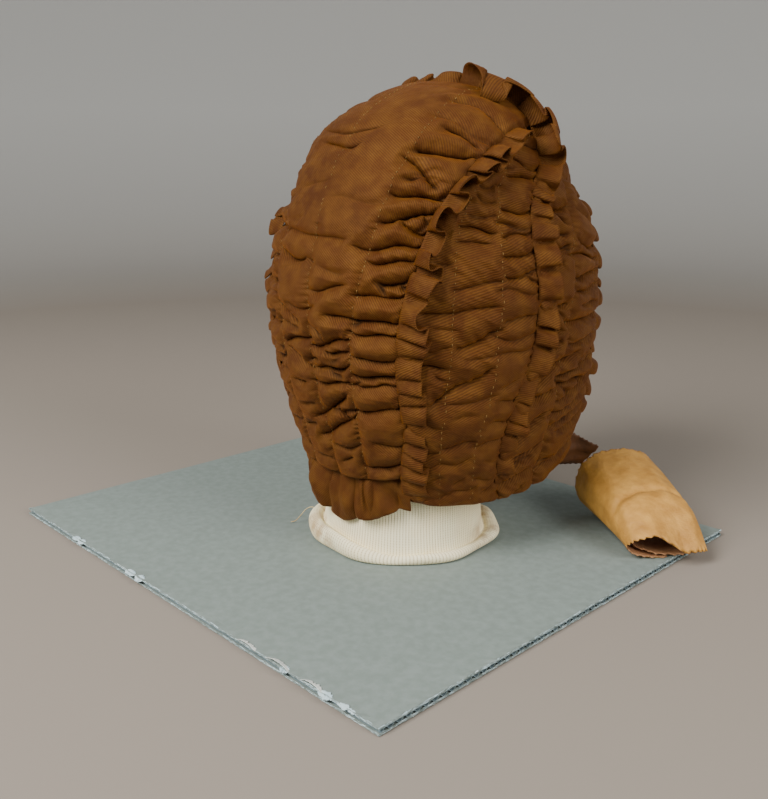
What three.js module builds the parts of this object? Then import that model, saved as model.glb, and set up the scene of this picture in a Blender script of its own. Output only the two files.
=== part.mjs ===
// Quilted and gathered silk hood on a knit-covered post that stands on a sheet of corrugated board.
// Millimetres, +Z up. The hood faces -Y, the wearer's left is +X, and the board's underside is z = 0.
// Inside this file, shapes are worked out about the upright axis of the neck post.
import * as THREE from 'three';

// Driving dimensions
const BOARD_LENGTH = 358;
const BOARD_DEPTH = 315;
const BOARD_THICKNESS = 4;
const NECK_X = -34;
const NECK_Y = -4;
const FIT_GAP = 0.3;

// The hood's outer surface: level sections, squarish ovals that shrink into a dome above dome_from.
const SECTION_EXPONENT = 2.25;
const DEPTH_TO_WIDTH = 1.15;
const DOME_FROM = 155.2;
const DOME_TOP = 288.8;
const DOME_POWER = 2.2;
const SECTIONS = [
  { z: 20.0, half_width: 67.0, centre_y: -33.2 },
  { z: 41.4, half_width: 73.9, centre_y: -33.2 },
  { z: 77.6, half_width: 82.9, centre_y: -32.9 },
  { z: 113.8, half_width: 90.0, centre_y: -30.2 },
  { z: 155.2, half_width: 92.6, centre_y: -27.4 },
  { z: 196.6, half_width: 91.5, centre_y: -28.3 },
  { z: 232.8, half_width: 86.9, centre_y: -25.6 },
  { z: 258.6, half_width: 90.3, centre_y: -28.3 },
  { z: 274.1, half_width: 96.0, centre_y: -35.2 },
  { z: 288.8, half_width: 100.0, centre_y: -38.0 },
];
const HEAD_CENTRE = new THREE.Vector3(0, -28, 150);

// Wall depths, measured in from the tops of the puffs
const SEAM_DEPTH = 3.0;
const FULL_PUFF_WIDTH = 20;
const FOLD_DEPTH = 4.0;
const WALL_DEPTH = 9.0;
const NAPE_WALL_DEPTH = 6.5;
const NAPE_WALL_TOP = 95;
const SEAM_HALF_GAP = 0.3;

// Seams and stitch lines of the wearer's right side, each a row of places from the hem upward.
const LINES = {
  centre_back: [
    { x: 0, y: 57, z: 58 },
    { x: 0, y: 68, z: 95 },
    { x: 0, y: 77, z: 150 },
    { x: 0, y: 72, z: 190 },
    { x: 0, y: 60, z: 230 },
    { x: 0, y: 38, z: 262 },
    { x: 0, y: 14, z: 281 },
    { x: 0, y: -14, z: 287 },
  ],
  half_back: [
    { x: -23, y: 55, z: 59 },
    { x: -26, y: 66, z: 95 },
    { x: -30, y: 73, z: 148 },
    { x: -36, y: 65, z: 190 },
    { x: -39, y: 50, z: 228 },
    { x: -41, y: 30, z: 253 },
    { x: -38, y: 4, z: 273 },
    { x: -34, y: -24, z: 283 },
  ],
  back_seam: [
    { x: -46, y: 45, z: 43 },
    { x: -47, y: 49, z: 60 },
    { x: -53, y: 52, z: 92 },
    { x: -55, y: 60, z: 134 },
    { x: -58, y: 59, z: 162 },
    { x: -60, y: 51, z: 186 },
    { x: -62, y: 38, z: 211 },
    { x: -65, y: 19, z: 232 },
    { x: -66, y: -1, z: 246 },
    { x: -63, y: -24, z: 257 },
    { x: -59, y: -45, z: 262.5 },
  ],
  side_stitch_back: [
    { x: -58, y: 28, z: 43 },
    { x: -64, y: 36, z: 78 },
    { x: -71, y: 39, z: 114 },
    { x: -75, y: 40, z: 150 },
    { x: -74, y: 38, z: 182 },
    { x: -70, y: 31, z: 206 },
    { x: -69, y: 12, z: 232 },
    { x: -67, y: -12, z: 247 },
    { x: -60, y: -45, z: 261.5 },
  ],
  side_stitch_front: [
    { x: -67, y: 12, z: 43 },
    { x: -77, y: 19, z: 88 },
    { x: -84, y: 16, z: 118 },
    { x: -87, y: 15, z: 150 },
    { x: -85, y: 12, z: 180 },
    { x: -80, y: 10, z: 206 },
    { x: -74, y: 2, z: 228 },
    { x: -69, y: -16, z: 243 },
    { x: -61, y: -45, z: 260.5 },
  ],
  crown_seam: [
    { x: -72, y: -8, z: 44 },
    { x: -79, y: 0, z: 72 },
    { x: -86, y: -3, z: 106 },
    { x: -92, y: -13, z: 140 },
    { x: -92, y: -16, z: 172 },
    { x: -86, y: -15, z: 200 },
    { x: -79, y: -23, z: 222 },
    { x: -71, y: -40, z: 242 },
    { x: -59, y: -45, z: 262.5 },
    { x: -42, y: -34, z: 278 },
    { x: -22, y: -19, z: 285 },
    { x: 0, y: -14, z: 287 },
  ],
  band_stitch: [
    { x: -76, y: -36, z: 45 },
    { x: -87, y: -39, z: 97 },
    { x: -92, y: -44, z: 140 },
    { x: -91, y: -49, z: 175 },
    { x: -84, y: -54, z: 205 },
    { x: -75, y: -59, z: 227 },
    { x: -62, y: -64, z: 247 },
    { x: -34, y: -64, z: 268 },
    { x: 0, y: -60, z: 277 },
  ],
  face_edge: [
    { x: -68, y: -80, z: 54 },
    { x: -73, y: -87, z: 92 },
    { x: -76, y: -94, z: 135 },
    { x: -74, y: -99, z: 178 },
    { x: -65, y: -102, z: 212 },
    { x: -42, y: -103, z: 243 },
    { x: 0, y: -103, z: 256 },
  ],
};
const CROWN_JUNCTION_ROW = 8;
const NAPE_START_ROW = 1;

// Panels: folds along the panel, how far a fold climbs per column, how deep the folds are at the hem and at
// the top, and the extra clearance kept from a share of the length upward, where the seam bends tightly.
const CHANNEL_COLUMNS = 3;
const ROWS_PER_FOLD = 3;
const INNER_ROW_SHARE = 0.5;
const PANELS = {
  back_panel: { folds: 22, climb: 0, low_folds: 1.0, top_folds: 0.35, tight_from: 0.99, tight_gap: 1.0 },
  side_panel: { folds: 14, climb: 1, low_folds: 0.55, top_folds: 0.65, tight_from: 0.85, tight_gap: 0.4 },
  front_band: { folds: 28, climb: 1, low_folds: 1.0, top_folds: 0.8, tight_from: 1, tight_gap: 0 },
};

// Frills: flutes along the seam, height, sideways wave, and the lean at the hem and at the far end or top.
// END_FADE_ROWS rows at each end rise from a low start to the full height.
const ROWS_PER_FLUTE = 4;
const FLUTE_WAVE = [0, 1, 0, -1];
const END_FADE_ROWS = 3;
const END_FADE_LEAST = 0.35;
const CLOTH_THICKNESS = 1.1;
const FRILLS = {
  back_frill: { flutes: 19, height: 12.5, flute: 2.2, lean_low: 56, lean_top: 25 },
  crown_frill: { flutes: 24, height: 14, flute: 2.4, lean_low: 52, lean_top: 45 },
  face_frill: { flutes: 24, height: 10, flute: 2.4, lean_low: 65, lean_top: 65 },
};
const NAPE_FRILL = { flutes: 9, flute: 2.6, flare: 0.8, depth: 4.6 };
const NAPE_FRILL_FEET = [
  { across: -1.0, z: 41 },
  { across: -0.8, z: 40 },
  { across: -0.5, z: 33 },
  { across: -0.1, z: 25 },
  { across: 0.35, z: 31 },
  { across: 0.6, z: 42 },
  { across: 1.0, z: 48 },
];

// Ties: a short dark ribbon from each front corner, and its loosely rolled, flattened end on the board.
const STRAP_ROWS = [
  { x: -56, y: -66, z: 62, half: 14, tilt: 80 },
  { x: -57.5, y: -82, z: 58, half: 14, tilt: 78 },
  { x: -63, y: -97, z: 53, half: 13.5, tilt: 66 },
  { x: -70, y: -107.5, z: 50, half: 13, tilt: 45 },
];
const ROLL = {
  length: 80, open_x: -143, open_y: -87, heading: -34, turns: 1.7, thickness: 1.2, wind_in: 5.5,
  open_width: 58, open_height: 30, far_width: 64, far_height: 48,
};

// Stand: a padded post with a knit tube drawn over its foot, whose hem flares and rolls on the board.
const POST_RADIUS = 47;
const POST_SIDES = 26;
const SLEEVE_THICKNESS = 1.5;
const SLEEVE_TOP = 120;
const SLEEVE_SIDES = 28;
const HEM_RADIUS = 59;
const HEM_SHIFT_X = 3;
const HEM_SHIFT_Y = -3;
const HEM_STRETCH = 3.5;
const HEM_STRETCH_HEADING = 46;

const COLOURS = {
  silk: 0x7a4416,
  silk_dark: 0x4b2a14,
  ribbon: 0xb78f55,
  knit: 0xe6dfc9,
  board: 0x93a5a5,
  pad: 0xd9d2c0,
};

function cloth(colour) {
  return new THREE.MeshStandardMaterial({ color: colour, roughness: 0.85, metalness: 0 });
}

function tableValue(rows, key, column, at) {
  let i = 0;
  while (i < rows.length - 2 && at > rows[i + 1][key]) i += 1;
  const share = (at - rows[i][key]) / (rows[i + 1][key] - rows[i][key]);
  return THREE.MathUtils.lerp(rows[i][column], rows[i + 1][column], THREE.MathUtils.clamp(share, 0, 1));
}

// Hermite curve through one column of the section table.
function sectionValue(column, z) {
  const rows = SECTIONS;
  const last = rows.length - 2;
  let i = 0;
  while (i < last && z > rows[i + 1].z) i += 1;
  const slopeAt = (k) => {
    const a = rows[Math.max(k - 1, 0)];
    const b = rows[Math.min(k + 1, rows.length - 1)];
    return (b[column] - a[column]) / (b.z - a.z);
  };
  const step = rows[i + 1].z - rows[i].z;
  const t = THREE.MathUtils.clamp((z - rows[i].z) / step, 0, 1);
  const t2 = t * t;
  const t3 = t2 * t;
  return (
    (2 * t3 - 3 * t2 + 1) * rows[i][column] +
    (t3 - 2 * t2 + t) * step * slopeAt(i) +
    (3 * t2 - 2 * t3) * rows[i + 1][column] +
    (t3 - t2) * step * slopeAt(i + 1)
  );
}

function isInsideHood(p) {
  if (p.z >= DOME_TOP) return false;
  const rise = Math.max(0, (p.z - DOME_FROM) / (DOME_TOP - DOME_FROM));
  const dome = (1 - rise ** DOME_POWER) ** (1 / DOME_POWER);
  const halfWidth = sectionValue('half_width', p.z) * dome;
  const halfDepth = halfWidth * DEPTH_TO_WIDTH;
  const across = Math.abs(p.x / halfWidth) ** SECTION_EXPONENT;
  const along = Math.abs((p.y - sectionValue('centre_y', p.z)) / halfDepth) ** SECTION_EXPONENT;
  return across + along < 1;
}

// The place where the ray from the head's centre through p leaves the hood.
function onHood(p) {
  const ray = p.clone().sub(HEAD_CENTRE).normalize();
  let near = 0;
  let far = 260;
  for (let i = 0; i < 32; i += 1) {
    const reach = (near + far) / 2;
    if (isInsideHood(HEAD_CENTRE.clone().addScaledVector(ray, reach))) near = reach;
    else far = reach;
  }
  return HEAD_CENTRE.clone().addScaledVector(ray, near);
}

function outwardAt(p) {
  const ray = p.clone().sub(HEAD_CENTRE).normalize();
  const helper = Math.abs(ray.z) > 0.7 ? new THREE.Vector3(0, 1, 0) : new THREE.Vector3(0, 0, 1);
  const side = new THREE.Vector3().crossVectors(helper, ray).normalize();
  const up = new THREE.Vector3().crossVectors(ray, side);
  const probe = 2.5;
  const a = onHood(p.clone().addScaledVector(side, probe)).sub(onHood(p.clone().addScaledVector(side, -probe)));
  const b = onHood(p.clone().addScaledVector(up, probe)).sub(onHood(p.clone().addScaledVector(up, -probe)));
  return a.cross(b).normalize();
}

// A place on the hood's surface, sunk by a depth along the surface's own normal.
function sunk(place, depth) {
  return place.point.clone().addScaledVector(place.normal, -depth);
}

function placeOn(p) {
  const point = onHood(p);
  return { point, normal: outwardAt(point) };
}

function mirrored(p) {
  return new THREE.Vector3(-p.x, p.y, p.z);
}

function lineCurve(rows) {
  const curve = new THREE.CatmullRomCurve3(rows.map((r) => new THREE.Vector3(r.x, r.y, r.z)));
  curve.arcLengthDivisions = 600;
  return curve;
}

// A line that runs from the right hem over the head to the left hem.
function overHead(rows) {
  const way = rows.map((r) => new THREE.Vector3(r.x, r.y, r.z));
  const back = way.slice(0, -1).reverse().map(mirrored);
  const curve = new THREE.CatmullRomCurve3([...way, ...back]);
  curve.arcLengthDivisions = 1200;
  return curve;
}

// The share of a curve's length that lies before one of its table rows.
function shareAtRow(curve, row) {
  const count = curve.points.length - 1;
  const lengths = curve.getLengths();
  const index = Math.round((row / count) * (lengths.length - 1));
  return lengths[index] / lengths[lengths.length - 1];
}

const backSeam = lineCurve(LINES.back_seam);
const sideStitchBack = lineCurve(LINES.side_stitch_back);
const sideStitchFront = lineCurve(LINES.side_stitch_front);
const halfBack = lineCurve(LINES.half_back);
const centreBack = lineCurve(LINES.centre_back);
const crownSeam = overHead(LINES.crown_seam);
const bandStitch = overHead(LINES.band_stitch);
const faceEdge = overHead(LINES.face_edge);
const junctionShare = shareAtRow(crownSeam, CROWN_JUNCTION_ROW);
const napeShare = shareAtRow(backSeam, NAPE_START_ROW);

// One closed body from an outer and an inner grid of points, walled in along the four borders.
function shellGeometry(outer, inner) {
  const positions = [];
  const faces = [];
  const store = (grid) =>
    grid.map((column) =>
      column.map((p) => {
        positions.push(p.x, p.y, p.z);
        return positions.length / 3 - 1;
      }),
    );
  const skin = (grid, turned) => {
    for (let i = 0; i < grid.length - 1; i += 1) {
      for (let j = 0; j < grid[0].length - 1; j += 1) {
        const a = grid[i][j];
        const b = grid[i + 1][j];
        const c = grid[i + 1][j + 1];
        const d = grid[i][j + 1];
        if (turned) faces.push(a, c, b, a, d, c);
        else faces.push(a, b, c, a, c, d);
      }
    }
  };
  const borders = (grid) => {
    const lastColumn = grid.length - 1;
    const lastRow = grid[0].length - 1;
    return [
      grid.map((column) => column[0]),
      [...grid[lastColumn]],
      grid.map((column) => column[lastRow]).reverse(),
      [...grid[0]].reverse(),
    ];
  };
  const wall = (a, b) => {
    let i = 0;
    let j = 0;
    while (i < a.length - 1 || j < b.length - 1) {
      const nextA = (i + 1) / (a.length - 1);
      const nextB = (j + 1) / (b.length - 1);
      if (nextA <= nextB) {
        faces.push(a[i + 1], a[i], b[j]);
        i += 1;
      } else {
        faces.push(b[j], b[j + 1], a[i]);
        j += 1;
      }
    }
  };
  const outerIds = store(outer);
  const innerIds = store(inner);
  skin(outerIds, false);
  skin(innerIds, true);
  const innerBorders = borders(innerIds);
  borders(outerIds).forEach((border, side) => wall(border, innerBorders[side]));
  return closedGeometry(positions, faces);
}

// Faces are turned round where they point inwards, so that every body has its outside out.
function closedGeometry(positions, faces) {
  const corner = (id) => new THREE.Vector3(positions[3 * id], positions[3 * id + 1], positions[3 * id + 2]);
  let volume = 0;
  for (let f = 0; f < faces.length; f += 3) {
    volume += corner(faces[f]).dot(corner(faces[f + 1]).cross(corner(faces[f + 2]))) / 6;
  }
  const turned = [];
  for (let f = 0; f < faces.length; f += 3) {
    turned.push(faces[f], faces[f + 2], faces[f + 1]);
  }
  const geometry = new THREE.BufferGeometry();
  geometry.setAttribute('position', new THREE.Float32BufferAttribute(positions, 3));
  geometry.setIndex(volume < 0 ? turned : faces);
  geometry.computeVertexNormals();
  return geometry;
}

function grid(columns, rows, pointAt) {
  const out = [];
  for (let i = 0; i <= columns; i += 1) {
    const column = [];
    for (let j = 0; j <= rows; j += 1) column.push(pointAt(i, j));
    out.push(column);
  }
  return out;
}

// Padded cloth between two seams. placeAt(u, v) gives the surface, u across and v along the seams.
function quiltedPanel(spec, channels, placeAt) {
  const columns = channels * CHANNEL_COLUMNS;
  const rows = spec.folds * ROWS_PER_FOLD;
  const edgeInset = (u, v, place) => {
    const towards = placeAt(THREE.MathUtils.clamp(u, 0.04, 0.96), THREE.MathUtils.clamp(v, 0.004, 0.996));
    const step = towards.point.clone().sub(place.point);
    const isEdge = step.length() > 1e-6;
    const gap = SEAM_HALF_GAP + (v > spec.tight_from ? spec.tight_gap : 0);
    return isEdge ? step.normalize().multiplyScalar(gap) : new THREE.Vector3();
  };
  const wallDepth = (point) => {
    const low = THREE.MathUtils.clamp((point.z - 50) / (NAPE_WALL_TOP - 50), 0, 1);
    return THREE.MathUtils.lerp(NAPE_WALL_DEPTH, WALL_DEPTH, low);
  };
  const outer = grid(columns, rows, (i, j) => {
    const u = i / columns;
    const v = j / rows;
    const place = placeAt(u, v);
    const onSeam = i % CHANNEL_COLUMNS === 0;
    const onBorder = i === 0 || i === columns || j === 0 || j === rows;
    const channel = Math.min(Math.floor(i / CHANNEL_COLUMNS), channels - 1);
    const step = (j + channel + spec.climb * i) % ROWS_PER_FOLD;
    const channelWidth = placeAt((channel + 1) / channels, v).point.distanceTo(placeAt(channel / channels, v).point);
    const puff = Math.min(channelWidth / FULL_PUFF_WIDTH, 1);
    const strength = puff * THREE.MathUtils.lerp(spec.low_folds, spec.top_folds, spec.over ? Math.sin(Math.PI * v) : v);
    let depth = onSeam ? SEAM_DEPTH : SEAM_DEPTH * (1 - puff);
    if (!onBorder) depth += step === 0 ? FOLD_DEPTH * strength * (onSeam ? 0.25 : 1) : 0;
    if (onBorder) depth = SEAM_DEPTH;
    return sunk(place, depth).add(edgeInset(u, v, place));
  });
  const innerColumns = Math.max(channels * 2, 3);
  const innerRows = Math.round(rows * INNER_ROW_SHARE);
  const inner = grid(innerColumns, innerRows, (i, j) => {
    const u = i / innerColumns;
    const v = j / innerRows;
    const place = placeAt(u, v);
    return sunk(place, wallDepth(place.point)).add(edgeInset(u, v, place));
  });
  return shellGeometry(outer, inner);
}

function between(curves, u, v, shares) {
  const s = u * (curves.length - 1);
  const i = Math.min(Math.floor(s), curves.length - 2);
  const a = curves[i].getPointAt(shares[i](v));
  const b = curves[i + 1].getPointAt(shares[i + 1](v));
  return a.lerp(b, s - i);
}

// The back panel runs from the nape over the back of the head to the crown seam.
function backPanelPlace(u, v) {
  const half = Math.abs(2 * u - 1);
  const along = (t) => t;
  const seamAlong = (t) => napeShare + (1 - napeShare) * t;
  const curves = [centreBack, halfBack, backSeam];
  const shares = [along, along, seamAlong];
  const p = between(curves, half, v, shares);
  const end = between(curves, half, 1, shares);
  const crown = crownSeam.getPointAt(THREE.MathUtils.lerp(0.5, junctionShare, half));
  p.add(crown.sub(end).multiplyScalar(v * v));
  return placeOn(u > 0.5 ? mirrored(p) : p);
}

const SIDE_TOP_SHARE = 0.972;

function sidePanelPlace(u, v) {
  const along = (t) => t * SIDE_TOP_SHARE;
  const crownAlong = (t) => t * SIDE_TOP_SHARE * junctionShare;
  const curves = [backSeam, sideStitchBack, sideStitchFront, crownSeam];
  return placeOn(between(curves, u, v, [along, along, along, crownAlong]));
}

function frontBandPlace(u, v) {
  const along = (t) => t;
  return placeOn(between([crownSeam, bandStitch, faceEdge], u, v, [along, along, along]));
}

// A gathered strip of cloth that stands along a seam and leans, by degrees from upright, towards the face.
function frillGeometry(spec, placeAt, isOverHead) {
  const rows = spec.flutes * ROWS_PER_FLUTE;
  const half = CLOTH_THICKNESS / 2;
  const frame = (j) => {
    const v = j / rows;
    const here = placeAt(v);
    const before = placeAt(Math.max(v - 0.004, 0)).point;
    const after = placeAt(Math.min(v + 0.004, 1)).point;
    const along = after.sub(before).normalize();
    const across = new THREE.Vector3().crossVectors(along, here.normal).normalize();
    const top = isOverHead ? Math.sin(Math.PI * v) ** 2 : v;
    const lean = THREE.MathUtils.degToRad(THREE.MathUtils.lerp(spec.lean_low, spec.lean_top, top));
    const rise = here.normal.clone().multiplyScalar(Math.cos(lean)).addScaledVector(across, Math.sin(lean));
    const thick = across.clone().multiplyScalar(Math.cos(lean)).addScaledVector(here.normal, -Math.sin(lean));
    const fade = THREE.MathUtils.clamp(Math.min(j, rows - j) / END_FADE_ROWS, END_FADE_LEAST, 1);
    const bend = spec.flute * FLUTE_WAVE[j % ROWS_PER_FLUTE] * fade;
    return { here, rise, thick, height: spec.height * fade, bend };
  };
  const side = (sign) =>
    grid(1, rows, (i, j) => {
      const f = frame(j);
      const clear = half * Math.abs(f.thick.dot(f.here.normal)) + FIT_GAP;
      const root = sunk(f.here, SEAM_DEPTH - clear);
      if (i === 1) root.addScaledVector(f.rise, f.height).addScaledVector(f.thick, f.bend);
      return root.addScaledVector(f.thick, sign * half);
    });
  return shellGeometry(side(1), side(-1));
}

// The flared frill that hangs from the gathered nape.
function napeFrillGeometry() {
  const rows = NAPE_FRILL.flutes * ROWS_PER_FLUTE;
  const columns = 2;
  const side = (sign) =>
    grid(columns, rows, (i, j) => {
      const u = 0.02 + (0.96 * j) / rows;
      const place = backPanelPlace(u, 0);
      const root = sunk(place, NAPE_FRILL.depth);
      root.z -= FIT_GAP + CLOTH_THICKNESS * 0.5;
      const outward = new THREE.Vector3(place.normal.x, place.normal.y, 0).normalize();
      const share = i / columns;
      root.z = THREE.MathUtils.lerp(root.z, tableValue(NAPE_FRILL_FEET, 'across', 'z', 2 * u - 1), share);
      const bend = NAPE_FRILL.flute * FLUTE_WAVE[j % ROWS_PER_FLUTE] * share;
      const flare = NAPE_FRILL.flare * share + Math.abs(bend) * 0.3;
      return root.addScaledVector(outward, flare + bend * 0.7 + (sign * CLOTH_THICKNESS) / 2);
    });
  return shellGeometry(side(1), side(-1));
}

function strapGeometry() {
  const path = lineCurve(STRAP_ROWS);
  const columns = 3;
  const rows = 8;
  const valueAt = (name, v) => {
    const s = v * (STRAP_ROWS.length - 1);
    const i = Math.min(Math.floor(s), STRAP_ROWS.length - 2);
    return THREE.MathUtils.lerp(STRAP_ROWS[i][name], STRAP_ROWS[i + 1][name], s - i);
  };
  const side = (sign) =>
    grid(columns, rows, (i, j) => {
      const v = j / rows;
      const tilt = THREE.MathUtils.degToRad(valueAt('tilt', v));
      const along = path.getTangentAt(v);
      const level = new THREE.Vector3().crossVectors(along, new THREE.Vector3(0, 0, 1)).normalize();
      const up = new THREE.Vector3().crossVectors(level, along);
      const width = level.clone().multiplyScalar(Math.cos(tilt)).addScaledVector(up, Math.sin(tilt));
      const face = new THREE.Vector3().crossVectors(along, width);
      const across = (i / columns) * 2 - 1;
      const cup = 1.5 * (1 - across * across);
      return path
        .getPointAt(v)
        .addScaledVector(width, across * valueAt('half', v))
        .addScaledVector(face, cup + (sign * CLOTH_THICKNESS) / 2);
    });
  return shellGeometry(side(1), side(-1));
}

function rollGeometry() {
  const heading = THREE.MathUtils.degToRad(ROLL.heading);
  const axis = new THREE.Vector3(Math.cos(heading), Math.sin(heading), 0);
  const cross = new THREE.Vector3(-axis.y, axis.x, 0);
  const columns = 3;
  const rows = 32;
  const side = (inset) =>
    grid(columns, rows, (i, j) => {
      const s = i / columns;
      const turn = (j / rows) * ROLL.turns;
      const shrink = turn * ROLL.wind_in + inset;
      const halfWidth = THREE.MathUtils.lerp(ROLL.open_width, ROLL.far_width, s) / 2 - shrink;
      const halfHeight = THREE.MathUtils.lerp(ROLL.open_height, ROLL.far_height, s) / 2 - shrink * 0.72;
      const lift = THREE.MathUtils.lerp(ROLL.open_height, ROLL.far_height, s) / 2;
      const angle = -Math.PI / 2 + turn * 2 * Math.PI;
      const round = (value) => Math.sign(value) * Math.abs(value) ** 0.85;
      const p = new THREE.Vector3(ROLL.open_x, ROLL.open_y, BOARD_THICKNESS + FIT_GAP + lift);
      return p
        .addScaledVector(axis, ROLL.length * s)
        .addScaledVector(cross, round(Math.cos(angle)) * halfWidth)
        .add(new THREE.Vector3(0, 0, round(Math.sin(angle)) * halfHeight));
    });
  return shellGeometry(side(0), side(ROLL.thickness));
}

// The post is a plain padded column whose top follows the inside of the crown, a fit gap below it.
function postGeometry() {
  const crownHeight = (x, y) => {
    let low = 200;
    let high = DOME_TOP;
    for (let k = 0; k < 30; k += 1) {
      const middle = (low + high) / 2;
      const p = new THREE.Vector3(x, y, middle);
      const inner = placeOn(p);
      if (inner.point.distanceTo(HEAD_CENTRE) - WALL_DEPTH - FIT_GAP > p.distanceTo(HEAD_CENTRE)) low = middle;
      else high = middle;
    }
    return low;
  };
  const rings = [
    { radius: POST_RADIUS, z: BOARD_THICKNESS + FIT_GAP },
    { radius: POST_RADIUS, z: 60 },
    { radius: POST_RADIUS, z: 150 },
    { radius: POST_RADIUS, below_crown: 24 },
    { radius: POST_RADIUS - 3, below_crown: 12 },
    { radius: POST_RADIUS - 10, below_crown: 4.5 },
    { radius: POST_RADIUS - 20, below_crown: 1.6 },
    { radius: POST_RADIUS - 34, below_crown: 1.2 },
  ];
  const positions = [];
  const faces = [];
  rings.forEach((ring) => {
    for (let k = 0; k < POST_SIDES; k += 1) {
      const angle = (k / POST_SIDES) * 2 * Math.PI;
      const x = ring.radius * Math.cos(angle);
      const y = ring.radius * Math.sin(angle);
      const z = ring.z ?? crownHeight(x, y) - ring.below_crown;
      positions.push(x, y, z);
    }
  });
  positions.push(0, 0, crownHeight(0, 0) - 1.2);
  positions.push(0, 0, BOARD_THICKNESS + FIT_GAP);
  const topId = rings.length * POST_SIDES;
  for (let k = 0; k < POST_SIDES; k += 1) {
    const next = (k + 1) % POST_SIDES;
    for (let r = 0; r < rings.length - 1; r += 1) {
      const a = r * POST_SIDES;
      const b = a + POST_SIDES;
      faces.push(a + k, a + next, b + next, a + k, b + next, b + k);
    }
    const top = (rings.length - 1) * POST_SIDES;
    faces.push(top + k, top + next, topId);
    faces.push(next, k, topId + 1);
  }
  return closedGeometry(positions, faces);
}

// The knit tube: a closed profile turned about the post, with its lower edge flared and rolled up.
function sleeveGeometry() {
  const foot = BOARD_THICKNESS + FIT_GAP;
  const inside = POST_RADIUS + FIT_GAP;
  const outside = inside + SLEEVE_THICKNESS;
  const profile = [
    [inside, SLEEVE_TOP],
    [inside, 24],
    [inside + 3, 12],
    [HEM_RADIUS - 5, foot + 0.2],
    [HEM_RADIUS - 1, foot],
    [HEM_RADIUS, foot + 2.5],
    [HEM_RADIUS - 1, foot + 7],
    [HEM_RADIUS - 4, foot + 8.2],
    [HEM_RADIUS - 8, foot + 6],
    [outside + 3.2, 14.5],
    [outside + 0.8, 24],
    [outside, 34],
    [outside, SLEEVE_TOP],
  ];
  const closed = [...profile, profile[0]].map(([r, z]) => new THREE.Vector2(r, z));
  const turned = new THREE.LatheGeometry(closed, SLEEVE_SIDES);
  turned.rotateX(Math.PI / 2);
  const source = turned.getAttribute('position');
  const rings = closed.length - 1;
  const stretchX = Math.cos(THREE.MathUtils.degToRad(HEM_STRETCH_HEADING));
  const stretchY = Math.sin(THREE.MathUtils.degToRad(HEM_STRETCH_HEADING));
  const positions = [];
  for (let k = 0; k < SLEEVE_SIDES; k += 1) {
    for (let r = 0; r < rings; r += 1) {
      const id = k * closed.length + r;
      const x = source.getX(id);
      const y = source.getY(id);
      const z = source.getZ(id);
      const radius = Math.hypot(x, y);
      const flare = Math.max(0, (radius - outside) / (HEM_RADIUS - outside));
      const reach = (flare * HEM_STRETCH * (x * stretchX + y * stretchY)) / HEM_RADIUS;
      positions.push(x + flare * HEM_SHIFT_X + reach * stretchX, y + flare * HEM_SHIFT_Y + reach * stretchY, z);
    }
  }
  const faces = [];
  for (let k = 0; k < SLEEVE_SIDES; k += 1) {
    for (let r = 0; r < rings; r += 1) {
      const a = k * rings + r;
      const b = ((k + 1) % SLEEVE_SIDES) * rings + r;
      const c = ((k + 1) % SLEEVE_SIDES) * rings + ((r + 1) % rings);
      const d = k * rings + ((r + 1) % rings);
      faces.push(a, b, c, a, c, d);
    }
  }
  return closedGeometry(positions, faces);
}

function mirroredGeometry(geometry) {
  const source = geometry.getAttribute('position');
  const positions = [];
  for (let id = 0; id < source.count; id += 1) {
    positions.push(-source.getX(id), source.getY(id), source.getZ(id));
  }
  return closedGeometry(positions, [...geometry.getIndex().array]);
}

const assembly = new THREE.Group();
const aboutNeck = new THREE.Group();
aboutNeck.position.set(NECK_X, NECK_Y, 0);
assembly.add(aboutNeck);

function addPiece(group, name, geometry, material) {
  const mesh = new THREE.Mesh(geometry, material);
  mesh.name = name;
  group.add(mesh);
  return mesh;
}

function addPair(name, geometry, material) {
  addPiece(aboutNeck, `${name}_right`, geometry, material);
  addPiece(aboutNeck, `${name}_left`, mirroredGeometry(geometry), material);
}

const silk = cloth(COLOURS.silk);
addPiece(aboutNeck, 'back_panel', quiltedPanel(PANELS.back_panel, 4, backPanelPlace), silk);
addPair('side_panel', quiltedPanel(PANELS.side_panel, 3, sidePanelPlace), silk);
addPiece(aboutNeck, 'front_band', quiltedPanel({ ...PANELS.front_band, over: true }, 2, frontBandPlace), silk);

const backFrillPlace = (v) => placeOn(backSeam.getPointAt(THREE.MathUtils.lerp(napeShare, 0.93, v)));
addPair('back_frill', frillGeometry(FRILLS.back_frill, backFrillPlace, false), silk);

const crownFrillPlace = (v) => placeOn(crownSeam.getPointAt(THREE.MathUtils.lerp(0.02, 0.98, v)));
addPiece(aboutNeck, 'crown_frill', frillGeometry(FRILLS.crown_frill, crownFrillPlace, true), silk);

const faceFrillPlace = (v) => placeOn(faceEdge.getPointAt(THREE.MathUtils.lerp(0.03, 0.97, v)));
addPiece(aboutNeck, 'face_frill', frillGeometry(FRILLS.face_frill, faceFrillPlace, true), silk);

addPiece(aboutNeck, 'nape_frill', napeFrillGeometry(), silk);
addPair('tie_strap', strapGeometry(), cloth(COLOURS.silk_dark));
addPair('tie_roll', rollGeometry(), cloth(COLOURS.ribbon));
addPiece(aboutNeck, 'padded_post', postGeometry(), cloth(COLOURS.pad));
addPiece(aboutNeck, 'knit_sleeve', sleeveGeometry(), cloth(COLOURS.knit));

const board = new THREE.BoxGeometry(BOARD_LENGTH, BOARD_DEPTH, BOARD_THICKNESS);
const boardMesh = addPiece(assembly, 'board', board, cloth(COLOURS.board));
boardMesh.position.z = BOARD_THICKNESS / 2;

export default assembly;
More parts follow.
